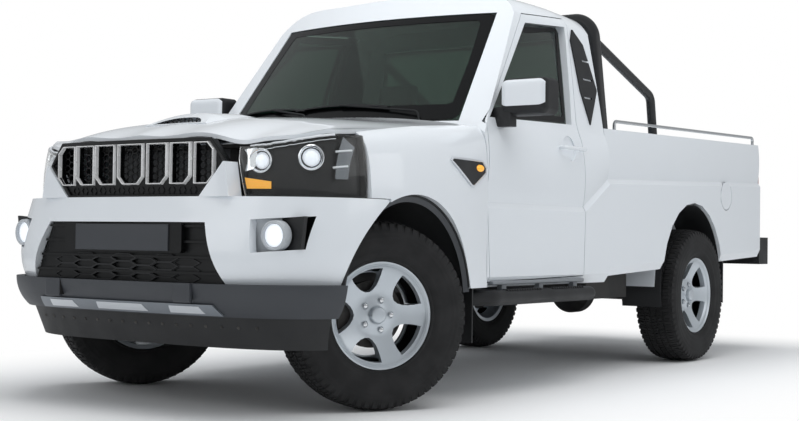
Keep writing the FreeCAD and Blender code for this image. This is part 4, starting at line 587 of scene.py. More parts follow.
def windowOutline(grow):
    # D-shaped window between two spokes: arc outside, round end towards the hub
    w = wheelSpec
    inner, outer = w["windowInner"] - grow, w["windowOuter"] + grow
    spread = math.radians(w["windowSpread"])
    points = []
    for i in range(9):
        a = -spread + 2 * spread * i / 8
        points.append((math.cos(a) * outer, math.sin(a) * (outer + grow * 0.8)))
    side = outer * math.sin(spread) + grow * 0.4
    reach = outer * math.cos(spread) - inner
    flank = [(inner + reach * share, side * width) for share, width in w["windowShares"]]
    return points + flank + [(inner, 0)] + [(a, -b) for a, b in reversed(flank)]


def windowCutter(turn):
    # tapered cutter, wider towards the wheel's face
    cutter = startLoop("windowCutter", [(-0.03, a, b) for a, b in windowOutline(-0.003)], "NGON")
    openMesh(cutter, everything=True)
    extrudeOpen((0.2, 0, 0))
    middle = wheelSpec["windowMiddle"]
    front = [v for v in cutter.data.vertices if v.co.x > 0.1]
    order = sorted(front, key=lambda v: math.atan2(v.co.y - middle, v.co.z))
    shape = sorted(windowOutline(0.013), key=lambda p: math.atan2(p[0] - middle, p[1]))
    for vertex, (a, b) in zip(order, shape):
        vertex.co = (0.17, a, b)
    cutter.data.transform(Matrix.Rotation(math.radians(turn), 4, "X"))
    return cutter


def alloyWheel():
    w = wheelSpec
    lip, seat, half, well, wall = w["lipRadius"], w["seatRadius"], w["halfWidth"], w["wellRadius"], w["wall"]
    # hub, spoke face, lip, tyre seats and well, then the back of the wall
    face = [
        (0.0745, 0.0001), (0.0745, 0.024), (0.0735, 0.029), (0.071, 0.0325), (0.066, 0.0345), (0.050, 0.036),
        (0.0475, 0.0385), (0.0465, 0.0420), (0.0445, 0.0480), (0.0420, 0.0620), (0.0400, 0.0760),
        (0.0395, 0.0900), (0.0430, 0.1080), (0.0500, 0.1300), (0.0590, 0.1550), (0.0690, 0.1780),
        (0.0780, 0.1930), (0.0860, 0.2020), (0.0925, 0.2075), (0.0985, 0.2130), (0.0998, 0.2165),
        (0.0990, lip), (half, lip), (half - 0.003, seat), (0.060, seat), (0.040, well), (-0.047, well),
        (-0.076, seat), (0.003 - half, seat), (-half, lip), (-half - wall, lip), (-half - 0.001, seat - wall),
        (-0.047, well - wall), (0.012, well - wall), (0.018, 0.150), (0.014, 0.120), (0.010, 0.095),
        (-0.006, 0.074), (-0.006, 0.030), (0.028, 0.030), (0.028, 0.0001),
    ]
    rim = spinProfile("alloyRim", face, w["steps"])
    step = 360 / w["spokes"]
    windows = joinPieces("windowCutters", [windowCutter(step * (i + 0.5)) for i in range(w["spokes"])])
    openMesh(windows)
    closeOutward()
    cutBy(rim, windows)
    for i in range(w["spokes"]):
        place = around(w["nutCircle"], step * i, 0.030)
        cutBy(rim, startRod("nutPocket", place + Vector((0.004, 0, 0)), place + Vector((0.05, 0, 0)),
                            w["pocketRadius"]))
        cutBy(rim, startRod("spokeGroove", place + around(0.02, step * i, 0.019),
                            place + around(0.066, step * i, 0.032), w["grooveRadius"], 16))
    roundEdges(rim, w["edge"], 2, 38)
    nuts = []
    for i in range(w["spokes"]):
        place = around(w["nutCircle"], step * i, 0.033)
        nut = startRod("wheelNut", place, place + Vector((0.021, 0, 0)), w["nutRadius"], 6)
        nuts.append(roundEdges(nut, w["edge"], 2, 20))
    return rim, joinPieces("wheelNuts", nuts)


tyreSpec = {
    # half section from the bead to the crown, with the rings moulded on the sidewall
    "side": [
        (0.0907, 0.2050), (0.0935, 0.2150), (0.0945, 0.2196), (0.1005, 0.2215), (0.1050, 0.2250),
        (0.1062, 0.2295), (0.1052, 0.2325), (0.1100, 0.2400), (0.1150, 0.2520), (0.1172, 0.2600),
        (0.1168, 0.2625), (0.1192, 0.2720), (0.1212, 0.2850), (0.1222, 0.2990), (0.1218, 0.3110),
        (0.1226, 0.3135), (0.1219, 0.3200), (0.1205, 0.3300), (0.1212, 0.3325), (0.1185, 0.3420),
        (0.1150, 0.3520), (0.1105, 0.3620), (0.1040, 0.3700), (0.0950, 0.3745), (0.0600, 0.3775), (0.0, 0.3785),
    ],
    "liner": [(0.0807, 0.2050), (0.0950, 0.2500), (0.1080, 0.2990), (0.0960, 0.3560), (0.0, 0.3640)],
    "pitches": 64, "radius": 0.387,
    # tread blocks: x from and to, shares of a pitch from and to, foot and top, skew, taper and shoulder drop
    "middle": ((-0.014, 0.014, 0.04, 0.52, 0.372, 0.3868, 0.008, 0.86, 0.0),
               (-0.014, 0.014, 0.56, 0.96, 0.372, 0.3868, 0.008, 0.86, 0.0)),
    "flanks": ((0.020, 0.050, 0.05, 0.62, 0.372, 0.3866, 0.010, 0.86, 0.0),
               (0.024, 0.054, 0.66, 0.98, 0.372, 0.3864, 0.006, 0.86, 0.0),
               (0.059, 0.104, 0.08, 0.60, 0.366, 0.3850, 0.005, 0.9, 0.009),
               (0.059, 0.096, 0.68, 0.98, 0.366, 0.3850, 0.003, 0.9, 0.005)),
    "shift": 0.25, "lug": ((0.1, -0.0105, 0.3440), (0.1205, 0.0105, 0.3735)),
}


def mirroredLine(half):
    # a half line and its mirror image, which share the last point
    return half + [(-x, r) for x, r in reversed(half[:-1])]


def tyreCarcass():
    # outside, tread base and inner liner in one closed section
    liner = [(-x, r) for x, r in mirroredLine(tyreSpec["liner"])]
    return spinProfile("tyreCarcass", mirroredLine(tyreSpec["side"]) + liner, wheelSpec["steps"])


def treadBlock(x0, x1, a0, a1, low, high, skew, taper, drop):
    step = 2 * math.pi / tyreSpec["pitches"]
    half = (a1 - a0) / 2 * step * tyreSpec["radius"]
    block = startBlock("treadBlock", (x0, -half, low), (x1, half, high))
    for vertex in block.data.vertices:
        vertex.co.y += skew * ((vertex.co.x - x0) / (x1 - x0) - 0.5)
        if vertex.co.z > (low + high) / 2:
            vertex.co.y *= taper
            vertex.co.x = (x0 + x1) / 2 + (vertex.co.x - (x0 + x1) / 2) * 0.93
            if drop and abs(vertex.co.x) > 0.09:
                vertex.co.z -= drop
    block.data.transform(Matrix.Rotation((a0 + a1) / 2 * step, 4, "X"))
    return block


def shoulderLug(turn, sign):
    lug = startBlock("shoulderLug", *tyreSpec["lug"])
    for vertex in lug.data.vertices:
        outer = vertex.co.x > 0.11
        if vertex.co.z > 0.36:
            vertex.co.x -= 0.009 if outer else 0.0
        elif outer:
            vertex.co.x = 0.1180
    lug.data.transform(Matrix.Rotation(turn, 4, "X"))
    if sign < 0:
        lug.data.transform(Matrix.Diagonal((-1, 1, 1, 1)))
        lug.data.flip_normals()
    return lug


def treadRing():
    # one pitch of the all-terrain tread, copied round the tyre
    step = 2 * math.pi / tyreSpec["pitches"]
    blocks = [treadBlock(*values) for values in tyreSpec["middle"]]
    for sign in (1, -1):
        shift = tyreSpec["shift"] if sign > 0 else 0.0
        for index, (x0, x1, a0, a1, low, high, skew, taper, drop) in enumerate(tyreSpec["flanks"]):
            move = shift if index < 2 else -shift
            blocks.append(treadBlock(*sorted((sign * x0, sign * x1)), a0 + move, a1 + move, low, high,
                                     skew * sign, taper, drop))
        blocks.append(shoulderLug(0.34 * step - shift * step, sign))
    pitch = joinPieces("treadPitch", blocks)
    roundEdges(pitch, 0.0012, 1, 40)
    ring = [copyOf(pitch, "treadPart", Matrix.Rotation(step * i, 4, "X")) for i in range(tyreSpec["pitches"])]
    bpy.data.objects.remove(pitch)
    return joinPieces("treadRing", ring)


def halfTurn(side):
    # turns a piece of the left side round for the right side
    return Matrix.Rotation(0 if side > 0 else math.pi, 4, "Z")


def addWheels():
    w = wheelSpec
    rim, nuts = alloyWheel()
    carcass, tread = tyreCarcass(), treadRing()
    for name in corners:
        axle, hand = name.split("_")
        side = 1 if hand == "left" else -1
        x, y = w["axles"][axle]
        place = Matrix.Translation((side * x, y, w["height"])) @ halfTurn(side)
        if axle == "front":
            pivot = Matrix.Translation((side * w["kingpin"], y, 0))
            place = pivot @ Matrix.Rotation(math.radians(w["steerAngle"]), 4, "Z") @ pivot.inverted() @ place
        body = "wheel_" + name
        finishPiece(copyOf(rim, "rimCast_" + name, place), "alloy", body, 40, ("rim_" + name,))
        finishPiece(copyOf(nuts, "wheelNuts_" + name, place), "chrome", body, 30)
        finishPiece(copyOf(carcass, "tyreCarcass_" + name, place), "tyre", body, 40, ("tyre_" + name,))
        finishPiece(copyOf(tread, "tyreTread_" + name, place), "tyre", body, 30)
    for obj in (rim, nuts, carcass, tread):
        bpy.data.objects.remove(obj)


addWheels()
print("wheels fitted")


def row(x, y, z):
    # millimetres from the front axle's line to the frame's metres
    return Vector((x / 1000, y / 1000 - 1.75, z / 1000))


def between(limits, share):
    return limits[0] + (limits[1] - limits[0]) * share


surfaceTrees = {}


def meet(node, start, way):
    # the first place where a straight line meets a node, or None
    if node not in surfaceTrees:
        mesh = nodes[node].data
        surfaceTrees[node] = BVHTree.FromPolygons([v.co for v in mesh.vertices],
                                                  [tuple(p.vertices) for p in mesh.polygons])
    return surfaceTrees[node].ray_cast(Vector(start), Vector(way).normalized())[0]


def meetNear(node, start, way, middle, lift=0.0):
    # as meet, but a place beyond the node's edge slides towards a middle place; lift stands it off
    start, middle, tries = Vector(start), Vector(middle), 48
    for share in range(tries):
        found = meet(node, start.lerp(middle, share / tries), way)
        if found is not None:
            break
    return (found or middle) - Vector(way) * lift


def gridSheet(name, columns, rows, mapping, wall, closed=False, wallSide=-1):
    # a flat grid whose points are moved onto a surface, then given a wall; closed joins its two ends
    deselectAll()
    bpy.ops.mesh.primitive_grid_add(x_subdivisions=columns, y_subdivisions=rows, size=2, location=(0, 0, 0))
    obj = bpy.context.object
    obj.name = name
    for vertex in obj.data.vertices:
        vertex.co = mapping((vertex.co.x + 1) / 2, (vertex.co.y + 1) / 2)
    if closed:
        openMesh(obj, everything=True)
        bpy.ops.mesh.remove_doubles(threshold=0.00002)
        closeMesh()
    thick = obj.modifiers.new("wall", "SOLIDIFY")
    thick.thickness = wall
    thick.offset = wallSide
    applyModifiers(obj)
    openMesh(obj)
    closeOutward()
    return obj


def addSheet(name, columns, rows, mapping, wall, finish, body="truck", **shape):
    finishPiece(gridSheet(name, columns, rows, mapping, wall, **shape), finish, body)


def startPipe(name, points, radius, closed=False):
    # round bar along a line of points
    data = bpy.data.curves.new(name, "CURVE")
    data.dimensions = "3D"
    data.bevel_depth = radius
    data.bevel_resolution = 2
    data.use_fill_caps = not closed
    line = data.splines.new("POLY")
    line.points.add(len(points) - 1)
    for spot, point in zip(line.points, points):
        spot.co = (*point, 1)
    line.use_cyclic_u = closed
    obj = bpy.data.objects.new(name, data)
    scene.collection.objects.link(obj)
    makeActive(obj)
    bpy.ops.object.convert(target="MESH")
    obj = bpy.context.object
    openMesh(obj, everything=True)
    bpy.ops.mesh.remove_doubles(threshold=0.00001)
    closeOutward()
    return obj


def turnTo(obj, axis, place):
    # stands a piece that was spun about X on another axis
    turn = Vector((1, 0, 0)).rotation_difference(Vector(axis).normalized()).to_matrix().to_4x4()
    obj.data.transform(Matrix.Translation(place) @ turn)
    return obj


def edgesOf(points):
    return zip(points, points[1:] + points[:1])


def lineShare(points, share):
    # point at a share of the way along a closed outline
    ends = [(Vector(a), Vector(b)) for a, b in edgesOf(points)]
    left = share * sum((b - a).length for a, b in ends)
    for a, b in ends:
        length = (b - a).length
        if left <= length:
            return a.lerp(b, left / length)
        left -= length
    return ends[-1][1]


def inside(points, x, z):
    hit = False
    for (x0, z0), (x1, z1) in edgesOf(points):
        if (z0 > z) != (z1 > z) and x < (x1 - x0) * (z - z0) / (z1 - z0) + x0:
            hit = not hit
    return hit


def splitEdges(points, parts):
    # the corners of an outline with even points along each edge
    return [(x0 + (x1 - x0) * k / parts, z0 + (z1 - z0) * k / parts)
            for (x0, z0), (x1, z1) in edgesOf(points) for k in range(parts)]


def middleOf(points):
    return sum(p[0] for p in points) / len(points), sum(p[1] for p in points) / len(points)


def hexCell(name, width, height, web, depth):
    # open six-sided cell in the front view: a hexagon inset, its middle taken out, and pushed back
    shape = ((1, 0), (0.5, 1), (-0.5, 1), (-1, 0), (-0.5, -1), (0.5, -1))
    cell = startLoop(name, [(a * width / 2000, 0, b * height / 2000) for a, b in shape], "NGON")
    openMesh(cell, everything=True)
    bpy.ops.mesh.inset(thickness=web / 1000)
    bpy.ops.mesh.delete(type="FACE")
    bpy.ops.mesh.select_all(action="SELECT")
    extrudeOpen((0, depth / 1000, 0))
    return cell


def hexField(name, cell, places, finish, body="truck"):
    # one cell copied to each place, in millimetres from the front axle's line
    cells = [copyOf(cell, "cell", Matrix.Translation(row(*place))) for place in places]
    bpy.data.objects.remove(cell)
    finishPiece(joinPieces(name, cells), finish, body)


grilleSpec = {
    "halfWidth": 495, "front": 710, "bow": 22, "foot": 853, "middle": 965, "sunk": 16, "levels": 9,
    "outline": [(-370, 853), (-495, 987), (-424, 1077), (424, 1077), (495, 987), (370, 853)],
    "slotCentres": (-0.786, -0.545, -0.297, 0.0, 0.297, 0.545, 0.786),
    "slotWidths": (0.19, 0.2, 0.21, 0.273, 0.21, 0.2, 0.19), "slotFoot": 906, "slotTop": 1062,
    "cell": (37, 27, 2.6, 5), "columns": 18, "slotGrow": (12, 17), "proud": 3, "roomShares": (0.982, 0.955),
    "rim": 0.0075, "rimProud": 5, "rimShares": (0.99, 0.975),
}


def grilleY(x):
    return grilleSpec["bow"] * (x / grilleSpec["halfWidth"]) ** 2 - grilleSpec["front"]


def inSlot(x, z, grow):
    g = grilleSpec
    half = g["halfWidth"]
    if not g["slotFoot"] - grow < z < g["slotTop"] + grow:
        return False
    return any(abs(x - centre * half) < width * half / 2 + grow
               for centre, width in zip(g["slotCentres"], g["slotWidths"]))


def grilleMesh():
    # cells sunk behind the seven slots, others just ahead of the plate between them
    g = grilleSpec
    width, height = g["cell"][:2]
    wide, tall = g["roomShares"]
    room = [(x * wide, g["middle"] + (z - g["middle"]) * tall) for x, z in g["outline"]]
    places = []
    for column in range(-g["columns"], g["columns"] + 1):
        x = column * width * 0.75
        for level in range(g["levels"]):
            z = g["foot"] + level * height + (height / 2 if column % 2 else 0)
            if not inside(room, x, z):
                continue
            if inSlot(x, z, g["slotGrow"][0]):
                places.append((x, grilleY(x) + g["sunk"], z))
            if not inSlot(x, z, g["slotGrow"][1]):
                places.append((x, grilleY(x) - g["proud"], z))
    hexField("grilleHexMesh", hexCell("meshCell", *g["cell"]), places, "glossBlack")
    rim = []
    wide, tall = g["rimShares"]
    for x, z in splitEdges(g["outline"], 12):
        rim.append(row(x * wide, grilleY(x * wide) - g["rimProud"], g["middle"] + (z - g["middle"]) * tall))
    finishPiece(startPipe("grilleRim", rim, g["rim"], True), "glossBlack")


mouthSpec = {"front": -749, "cell": (150, 30, 3.4, 9), "columns": 4, "levels": 3, "foot": 552, "half": 520,
             "bow": 22, "plateLow": (-262, -766, 640), "plateHigh": (262, -757, 744)}


def mouthGrille():
    m = mouthSpec
    width, height = m["cell"][:2]
    places = []
    for column in range(-m["columns"], m["columns"] + 1):
        x = column * width * 0.75
        for level in range(m["levels"]):
            z = m["foot"] + level * height - (height / 2 if column % 2 else 0)
            places.append((x, m["front"] + m["bow"] * (x / m["half"]) ** 2, z))
    hexField("mouthHexGrille", hexCell("mouthCell", *m["cell"]), places, "blackPlastic")
    plate = startBlock("plateHolder", row(*m["plateLow"]), row(*m["plateHigh"]))
    insetFaces(plate, lambda n: n.y < -0.9, 0.009, -0.003)
    finishPiece(roundEdges(plate, 0.0022), "greyPlastic")


scoopSpec = {"cell": (30, 22, 2.4, 4), "columns": 6, "front": -426, "low": 1172, "slope": 2.2}


def scoopMesh():
    # two staggered rows of cells; the upper one stands further back
    s = scoopSpec
    places = []
    for column in range(-s["columns"], s["columns"] + 1):
        rise = 10 if column % 2 else 0
        places.append((column * s["cell"][0] * 0.75, s["front"] + rise * s["slope"], s["low"] + rise))
    hexField("scoopMesh", hexCell("scoopCell", *s["cell"]), places, "blackPlastic", "bonnet")


lampSpec = {
    "projectors": (((587, 992), 41, (0.30, -0.95, 0.02)), ((752, 1006), 43, (0.62, -0.78, 0.02))),
    # name, finish, steps round and profile of (x, share of the radius)
    "parts": (
        ("Bezel", "chrome", 48, ((0.001, 0.98), (0.004, 1.06), (0.002, 1.16), (-0.012, 1.18), (-0.030, 1.14),
                                 (-0.030, 0.72), (-0.020, 0.76), (-0.008, 0.90))),
        ("Lens", "litLens", 48, ((0.002, 0), (0.0005, 0.34), (-0.005, 0.58), (-0.014, 0.76), (-0.026, 0.80),
                                 (-0.026, 0))),
        ("Collar", "glossBlack", 48, ((-0.008, 0.82), (-0.006, 0.90), (-0.016, 0.96), (-0.028, 0.94),
                                      (-0.028, 0.80))),
    ),
    "stripFrom": (528, 1056), "stripTo": (802, 1098), "barLevels": (968, 1030),
    "bar": (812, 6, 1.5, 9),
    "rim": [(518, 880, 0), (518, 1042, 0), (604, 1048, 0), (700, 1068, 0), (806, 1092, 0)],
    # x and width, z and height, drop of the outer end, distance behind the lens
    "turnPatch": (522, 112, 884, 44, 16, 9), "outerPatch": (818, 26, 925, 165, 40, 12),
    # the same, but the outer end is higher, and the upright edges are so much deeper
    "innerPatch": (522, 46, 948, 86, 12, 12, 10),
}


def lampPlace(x, z, behind):
    # place on the headlamp's lens, or so many millimetres behind it
    return meetNear("headlamp_lenses", row(x, -1500, z), (0, 1, 0), row(690, -1500, 970), -behind / 1000)


def spunLamp(prefix, parts, radius, axis, place):
    # the spun parts of one lamp and their finishes
    pieces = []
    for name, finish, steps, shares in parts:
        piece = spinProfile(prefix + name, roundProfile(shares, radius), steps)
        pieces.append((turnTo(piece, axis, place), finish))
    return pieces


def projectors():
    pieces = []
    for (x, z), radius, axis in lampSpec["projectors"]:
        pieces += spunLamp("projector", lampSpec["parts"], radius / 1000, axis, lampPlace(x, z, 16))
    return pieces


def lampPatch(x, width, z, height, drop, behind):
    # four-cornered patch of the lens, lower at its outer end
    return lambda u, v: lampPlace(x + width * u, z + (height - drop * u) * v, behind)


def lampLights():
    # light strip along the top, turn lens below, reflectors at both ends and two bars on the outer one
    (x0, z0), (x1, z1) = lampSpec["stripFrom"], lampSpec["stripTo"]
    line = [lampPlace(x0 + (x1 - x0) * k / 24, z0 + (z1 - z0) * (k / 24) ** 0.85, 12) for k in range(25)]
    under = [p + Vector((0, 0.006, -0.013)) for p in line]

    x, width, z, height, rise, near, deeper = lampSpec["innerPatch"]

    def innerSpot(u, v):
        edge = (2 * u - 1) ** 2 * (1 - (2 * v - 1) ** 2)
        return lampPlace(x + width * u, z + height * v + rise * u, near + deeper * edge)

    pieces = [(startPipe("lampStrip", line, 0.0065), "paleDiffuser"),
              (startPipe("lampStripTrim", under, 0.004), "chrome"),
              (gridSheet("turnLens", 14, 6, lampPatch(*lampSpec["turnPatch"]), 0.006), "amber"),
              (gridSheet("innerReflector", 12, 14, innerSpot, 0.003), "chrome"),
              (gridSheet("outerReflector", 8, 18, lampPatch(*lampSpec["outerPatch"]), 0.004), "satinGrey")]
    start, across, up, behind = lampSpec["bar"]
    for level in lampSpec["barLevels"]:
        bar = [lampPlace(start + across * k, level + up * k, behind) for k in range(6)]
        pieces.append((startPipe("outerBar", bar, 0.0045), "paleDiffuser"))
    rim = [lampPlace(p.x, p.y, 12) for p in smoothPath(lampSpec["rim"], 8)]
    return pieces + [(startPipe("lampInnerRim", rim, 0.005), "glossBlack")]


def headlamps():
    for piece, finish in projectors() + lampLights():
        finishPair(piece, finish)


fogSpec = {
    "place": (709, -656, 706), "axis": (0.10, -0.99, 0), "radius": 0.057,
    "parts": (
        ("Ring", "paleGrey", 56, ((0.012, 0.80), (0.015, 0.87), (0.011, 0.98), (-0.006, 1.02), (-0.030, 1.02),
                                  (-0.030, 0.78), (0.002, 0.78))),
        ("Lens", "litLens", 48, ((0.010, 0), (0.009, 0.3), (0.006, 0.55), (0.0, 0.76), (-0.02, 0.77),
                                 (-0.02, 0))),
    ),
    "plateX": (598, 718), "plateZ": (634, 776),
    # the bumper's face in plan: shares of its half width and of its depth
    "noseShares": ((0.5, 0.036), (0.76, 0.17), (0.95, 0.47), (1.0, 1.0)),
    "bumperHalf": 893, "bumperFront": -765, "bumperDepth": 585, "behind": 26,
}


def fogLamps():
    f = fogSpec
    for piece, finish in spunLamp("fog", f["parts"], f["radius"], f["axis"], row(*f["place"])):
        finishPair(piece, finish)

    def plateSpot(u, v):
        # follows the bumper's face a little way in
        a = between(f["plateX"], u)
        share = a / f["bumperHalf"]
        nose = f["noseShares"]
        (s0, b0), (s1, b1) = [(p, q) for p, q in zip(nose, nose[1:]) if p[0] <= share <= q[0]][0]
        depth = b0 + (b1 - b0) * (share - s0) / (s1 - s0)
        y = f["bumperFront"] + f["bumperDepth"] * depth + f["behind"]
        return row(a, y, between(f["plateZ"], v))

    finishPair(gridSheet("fogPlate", 14, 10, plateSpot, 0.003), "paleGrey")


# half widths and heights of each pane's edge and of the clear field inside its printed band
screenSpec = {
    "outer": ((706, 1229), (684, 1500), (648, 1797)), "inner": ((630, 1318), (612, 1540), (578, 1752)),
    "rearOuter": ((616, 1322), (592, 1560), (566, 1768)), "rearInner": ((578, 1360), (556, 1560), (532, 1736)),
    "middle": 1530, "band": 0.0012, "lift": 0.0011,
}


def paneLoop(name):
    (a, low), (b, waist), (c, top) = screenSpec[name]
    return [(-a, low, 0), (a, low, 0), (b, waist, 0), (c, top, 0), (-c, top, 0), (-b, waist, 0)]


def glassBorder(name, outer, inner, start, way):
    # printed black band on the glass, between its edge and the clear field
    outer, inner = paneLoop(outer), paneLoop(inner)

    def spot(u, v):
        a, b = lineShare(outer, u), lineShare(inner, u)
        x, z = between((a.x, b.x), v), between((a.y, b.y), v)
        # a place beyond the pane's edge slides towards the pane's middle
        for share in range(40):
            a, b = x * (1 - share / 40), z + (screenSpec["middle"] - z) * share / 40
            found = meet("cab_glass", (a / 1000, start, b / 1000), (0, way, 0))
            if found is not None and (found.y > 0) == (way < 0):
                return found + Vector((0, -way * screenSpec["lift"], 0))

    addSheet(name, 96, 4, spot, screenSpec["band"], "glassPrint", closed=True, wallSide=0)


def hullOf(points):
    # the corners of the smallest bulging outline round the points
    points = sorted(set((round(a, 5), round(b, 5)) for a, b in points))

    def half(run):
        line = []
        for c in run:
            while len(line) > 1:
                a, b = line[-2:]
                if (b[0] - a[0]) * (c[1] - a[1]) - (b[1] - a[1]) * (c[0] - a[0]) > 0:
                    break
                line.pop()
            line.append(c)
        return line[:-1]

    return half(points) + half(points[::-1])


def doorGlassSeal(side, hand):
    # rubber band round the inside of the door's pane
    node = "door_glass_" + hand
    outline = hullOf([(v.co.y, v.co.z) for v in nodes[node].data.vertices])
    middle = middleOf(outline)
    line = [(a, b, 0) for a, b in outline]

    def spot(u, v):
        p = lineShare(line, u)
        s = 1 - (0.014 + 0.030 * v) / math.hypot(p.x - middle[0], p.y - middle[1])
        a, b = middle[0] + (p.x - middle[0]) * s, middle[1] + (p.y - middle[1]) * s
        return meetNear(node, (side * 2, a, b), (-side, 0, 0), (side * 2, *middle), 0.0012)

    addSheet("doorGlassSeal_" + hand, 90, 3, spot, 0.002, "seal", "door_" + hand, closed=True, wallSide=0)


def glassBands():
    glassBorder("screenBorder", "outer", "inner", -4, 1)
    glassBorder("rearGlassBorder", "rearOuter", "rearInner", 4, -1)
    for side, hand in hands:
        doorGlassSeal(side, hand)


mirrorSpec = {
    "centre": 965, "half": 112, "rise": (1302, 1420), "roundShare": 0.72, "roundDepth": 0.22,
    "roundMiddle": 1350, "glassHalf": 96, "glassHeight": 1345, "glassRise": 62, "glassRoundShare": 0.7,
}


def mirrorCaps():
    # painted shell ahead of each mirror head and silvered glass behind it
    m = mirrorSpec
    for side, hand in hands:
        def onMirror(x, z, start, way, lift):
            return meetNear("mirror_" + hand, (side * x / 1000, start, z / 1000), (0, way, 0),
                            (side * 0.965, start, 1.345), lift)

        def capSpot(u, v):
            x = m["centre"] + (2 * u - 1) * m["half"]
            z = between(m["rise"], v)
            end = max(0.0, abs(2 * u - 1) - m["roundShare"]) / (1 - m["roundShare"])
            z -= (z - m["roundMiddle"]) * m["roundDepth"] * end ** 2
            return onMirror(x, z, -3, 1, 0.003)

        def glassSpot(u, v):
            x = m["centre"] + (2 * u - 1) * m["glassHalf"]
            end = max(0.0, abs(2 * u - 1) - m["glassRoundShare"]) / (1 - m["glassRoundShare"])
            z = m["glassHeight"] + (2 * v - 1) * m["glassRise"] * (1 - 0.25 * end ** 2)
            return onMirror(x, z, 1, -1, 0.0022)

        addSheet("mirrorCap_" + hand, 28, 16, capSpot, 0.0028, "paint", "door_" + hand)
        addSheet("mirrorGlass_" + hand, 20, 12, glassSpot, 0.002, "mirrorSilver", "door_" + hand)


skidSpec = {"inlays": {"a": (-432, -262), "b": (-140, 140), "c": (262, 432)}, "z": (403, 431), "slope": 12}


def skidInlays():
    s = skidSpec
    for name, (x0, x1) in s["inlays"].items():
        def spot(u, v):
            z = between(s["z"], v)
            shrink = s["slope"] * v
            x = x0 + shrink + (x1 - x0 - 2 * shrink) * u
            return meetNear("skid_strip", (x / 1000, -4, z / 1000), (0, 1, 0), (x / 1100, -4, 0.417), 0.0022)

        addSheet("skidInlay_" + name, 16, 4, spot, 0.0024, "silverPaint")


towSpec = {"x": (0.322, 0.408), "y": (-2.5430, -2.525), "z": (0.446, 0.521)}


def towCovers():
    # covers of the towing eyes, over the ends of the frame's brackets
    for side, hand in hands:
        cover = sideBlock("towCover_" + hand, side, towSpec["x"], towSpec["y"], towSpec["z"])
        insetFaces(cover, lambda n: n.y < -0.9, 0.006, 0.0015)
        finishPiece(roundEdges(cover, 0.003), "greyPlastic")


boltSpec = {"z": 352, "reach": 600, "count": 17, "radius": 0.0075,
            "headShares": ((0.5, 0.5), (0.15, 0.95), (-1, 1))}


def valanceBolts():
    # domed heads of the bolts that hold the valance
    b = boltSpec
    r = b["radius"]
    profile = [(r * 0.6, 0.0001)] + [(r * x, r * share) for x, share in b["headShares"]] + [(-r, 0.0001)]
    heads = []
    for k in range(b["count"]):
        x = -b["reach"] + 2 * b["reach"] * k / (b["count"] - 1)
        found = meet("bumper_valance", (x / 1000, -4, b["z"] / 1000), (0, 1, 0))
        if found is not None:
            heads.append(turnTo(spinProfile("boltHead", profile, 12), (0, -1, 0), found))
    finishPiece(joinPieces("valanceBolts", heads), "casting")


archSpec = {
    "rear": {"y": 1.245, "z": 0.445, "reach": 0.430, "rise": 0.472, "x": (0.565, 0.806),
             "angles": (-14, 194)},
    "front": {"y": -1.750, "z": 0.427, "radii": (0.424, 0.449), "x": 0.872, "dish": 0.014, "angles": (6, 174)},
}


def archLinings():
    # black moulded lining of the rear wheel houses, and the dark inner band of the front flares
    rear, front = archSpec["rear"], archSpec["front"]
    for side, hand in hands:
        def rearSpot(u, v):
            a = math.radians(between(rear["angles"], u))
            y, z = rear["y"] + rear["reach"] * math.cos(a), rear["z"] + rear["rise"] * math.sin(a)
            return Vector((side * between(rear["x"], v), y, z))

        def frontSpot(u, v):
            a = math.radians(between(front["angles"], u))
            r = between(front["radii"], v)
            x = side * (front["x"] - front["dish"] * (1 - v))
            return Vector((x, front["y"] + r * math.cos(a), front["z"] + r * math.sin(a)))

        addSheet("rearArchLining_" + hand, 48, 8, rearSpot, 0.003, "blackPlastic")
        addSheet("frontArchBand_" + hand, 56, 3, frontSpot, 0.004, "greyPlastic")


# half width, depth and height of the black sheet of painted shade in the gap between cab and load bed
gapShadeSpec = {"half": 0.792, "y": (0.060, 0.088), "z": (0.62, 1.24)}


def gapShadeSheet():
    # black sheet hung in the gap between cab and load bed: painted shade that darkens the gap
    shield = sideBlock("gapShadeSheet", 1, (-gapShadeSpec["half"], gapShadeSpec["half"]), gapShadeSpec["y"], gapShadeSpec["z"])
    insetFaces(shield, lambda n: abs(n.x) > 0.9, 0.004, -0.002)
    finishPiece(roundEdges(shield, 0.003), "seal")


wingSpec = {
    "outline": [(272, 1034), (290, 1046), (560, 1044), (594, 1016), (588, 992), (462, 930), (438, 934)],
    "edgeParts": 6, "rim": 0.0048, "lamp": (528, 1012), "lampStretch": 2.1,
    "lampProfile": [(0.009, 0.0002), (0.008, 0.009), (0.005, 0.0145), (-0.003, 0.017), (-0.003, 0.0002)],
}


def wingTrims():
    # three-cornered plate with a lamp, on each front wing ahead of the door
    w = wingSpec
    loop = splitEdges(w["outline"], w["edgeParts"])
    middle = middleOf(loop)
    for side, hand in hands:
        def onWing(a, b, proud):
            return meetNear("fender_" + hand, (side * 2, a / 1000 - 1.75, b / 1000), (-side, 0, 0),
                            (side * 2, -1.25, 0.95), proud / 1000)

        def spot(u, v):
            p = loop[int(round(u * len(loop))) % len(loop)]
            s = 0.02 + 0.98 * v
            return onWing(middle[0] + (p[0] - middle[0]) * s, middle[1] + (p[1] - middle[1]) * s, 3)

        addSheet("wingPlate_" + hand, len(loop), 6, spot, 0.003, "blackPlastic", closed=True)
        rim = startPipe("wingPlateRim_" + hand, [onWing(a, b, 4) for a, b in loop], w["rim"], True)
        finishPiece(rim, "silverPaint")
        lamp = spinProfile("wingLamp_" + hand, w["lampProfile"], 32)
        lamp.data.transform(Matrix.Diagonal((1, w["lampStretch"], 1, 1)))
        lamp.data.transform(Matrix.Translation(onWing(*w["lamp"], 2)) @ halfTurn(side))
        finishPiece(lamp, "amber")


tailLampSpec = {"x": (0.764, 0.799), "y": (2.330, 2.342),
                "bands": {"paleGrey": (0.806, 0.876), "amber": (0.882, 0.952), "redLens": (0.958, 1.124)}}


